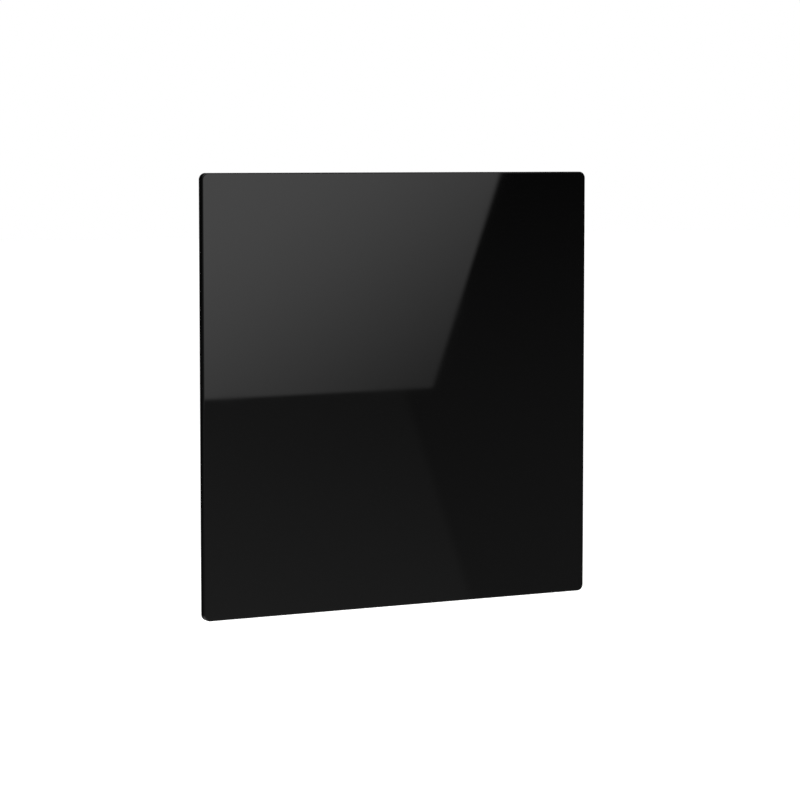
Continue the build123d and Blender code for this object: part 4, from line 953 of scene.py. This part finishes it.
def behindPanel(tree, x, y, z, r):
    # dark flags, and a pale floor and ceiling that show past them
    turn = calc(tree, "MULTIPLY", calc(tree, "ARCTAN2", x, y), 180.0 / math.pi)
    flags = remap(tree, z, *r["flagsFall"], *r["flags"], smooth=True)
    flags = calc(tree, "ADD", flags, remap(tree, z, *r["floorFall"], 0.0, r["floor"], smooth=True))
    sideways = remap(tree, calc(tree, "ABSOLUTE", turn), *r["asideTurn"], smooth=True)
    paler = remap(tree, z, *r["asideFall"], 0.0, r["aside"], smooth=True)
    flags = calc(tree, "ADD", flags, calc(tree, "MULTIPLY", sideways, paler))
    fromFlags = calc(tree, "ABSOLUTE", calc(tree, "SUBTRACT", turn, r["flagMiddle"]))
    clear = remap(tree, fromFlags, r["flagHalf"], r["flagHalf"] + r["flagFade"], smooth=True)
    behind = blendValues(tree, clear, flags, r["behind"])
    return calc(tree, "ADD", behind, remap(tree, z, *r["skyRise"], 0.0, r["sky"], smooth=True))


def makeWorld(r):
    world = bpy.data.worlds.new("studio")
    scene.world = world
    world.use_nodes = True
    tree = world.node_tree
    tree.nodes.clear()
    axes = newNode(tree, "ShaderNodeSeparateXYZ")
    feed(tree, axes.inputs[0], newNode(tree, "ShaderNodeTexCoord").outputs["Generated"])
    x, y, z = axes.outputs["X"], axes.outputs["Y"], axes.outputs["Z"]
    front = calc(tree, "ADD", remap(tree, z, *r["apronFall"], 0.0, r["apron"], smooth=True), r["front"])
    toBehind = remap(tree, y, *r["turn"], smooth=True)
    mirrored = blendValues(tree, toBehind, front, behindPanel(tree, x, y, z, r))
    above = remap(tree, z, *r["aboveRise"], 0.0, r["above"], smooth=True)
    mirrored = calc(tree, "ADD", mirrored, above)
    rays = newNode(tree, "ShaderNodeLightPath").outputs
    level = blendValues(tree, rays["Is Glossy Ray"], r["ambient"], mirrored)
    level = blendValues(tree, seenDirectly(tree, rays), level, 1.0)  # the white backdrop
    light = newNode(tree, "ShaderNodeBackground")
    light.inputs["Color"].default_value = white
    feed(tree, light.inputs["Strength"], level)
    feed(tree, newNode(tree, "ShaderNodeOutputWorld").inputs["Surface"], light.outputs[0])


makeWorld(room)

floor = {
    "height": -0.75, "size": 60.0,
    "colour": (0.82, 0.82, 0.82, 1.0), "roughness": 0.9,
    "ownLight": (0.16, 0.66), "fade": (1.2, 4.2),  # under the object and far off, and how far
}


def makeFloor(f):
    plane = addPlane("floor", (0, 0, f["height"]), (f["size"], f["size"]), (0, 0, 1))
    plane.visible_glossy = False
    material, tree, shader, place = startMaterial("paleFloor")
    shader.inputs["Base Color"].default_value = f["colour"]
    shader.inputs["Roughness"].default_value = f["roughness"]
    shader.inputs["Emission Color"].default_value = white
    # white towards the backdrop, and less of its own light under the object, where its shadow falls
    away = newNode(tree, "ShaderNodeVectorMath", operation="LENGTH")
    feed(tree, away.inputs[0], place)
    glow = remap(tree, away.outputs["Value"], *f["fade"], *f["ownLight"], smooth=True)
    seen = seenDirectly(tree, newNode(tree, "ShaderNodeLightPath").outputs)
    feed(tree, shader.inputs["Emission Strength"], calc(tree, "MULTIPLY", seen, glow))
    # clear from below, so that the object's underside can be looked at
    surface = blendShaders(tree, newNode(tree, "ShaderNodeNewGeometry").outputs["Backfacing"],
                           shader.outputs[0], newNode(tree, "ShaderNodeBsdfTransparent").outputs[0])
    feed(tree, tree.nodes["Material Output"].inputs["Surface"], surface)
    plane.data.materials.append(material)


makeFloor(floor)
scene.view_settings.view_transform = "Standard"
print("studio made")
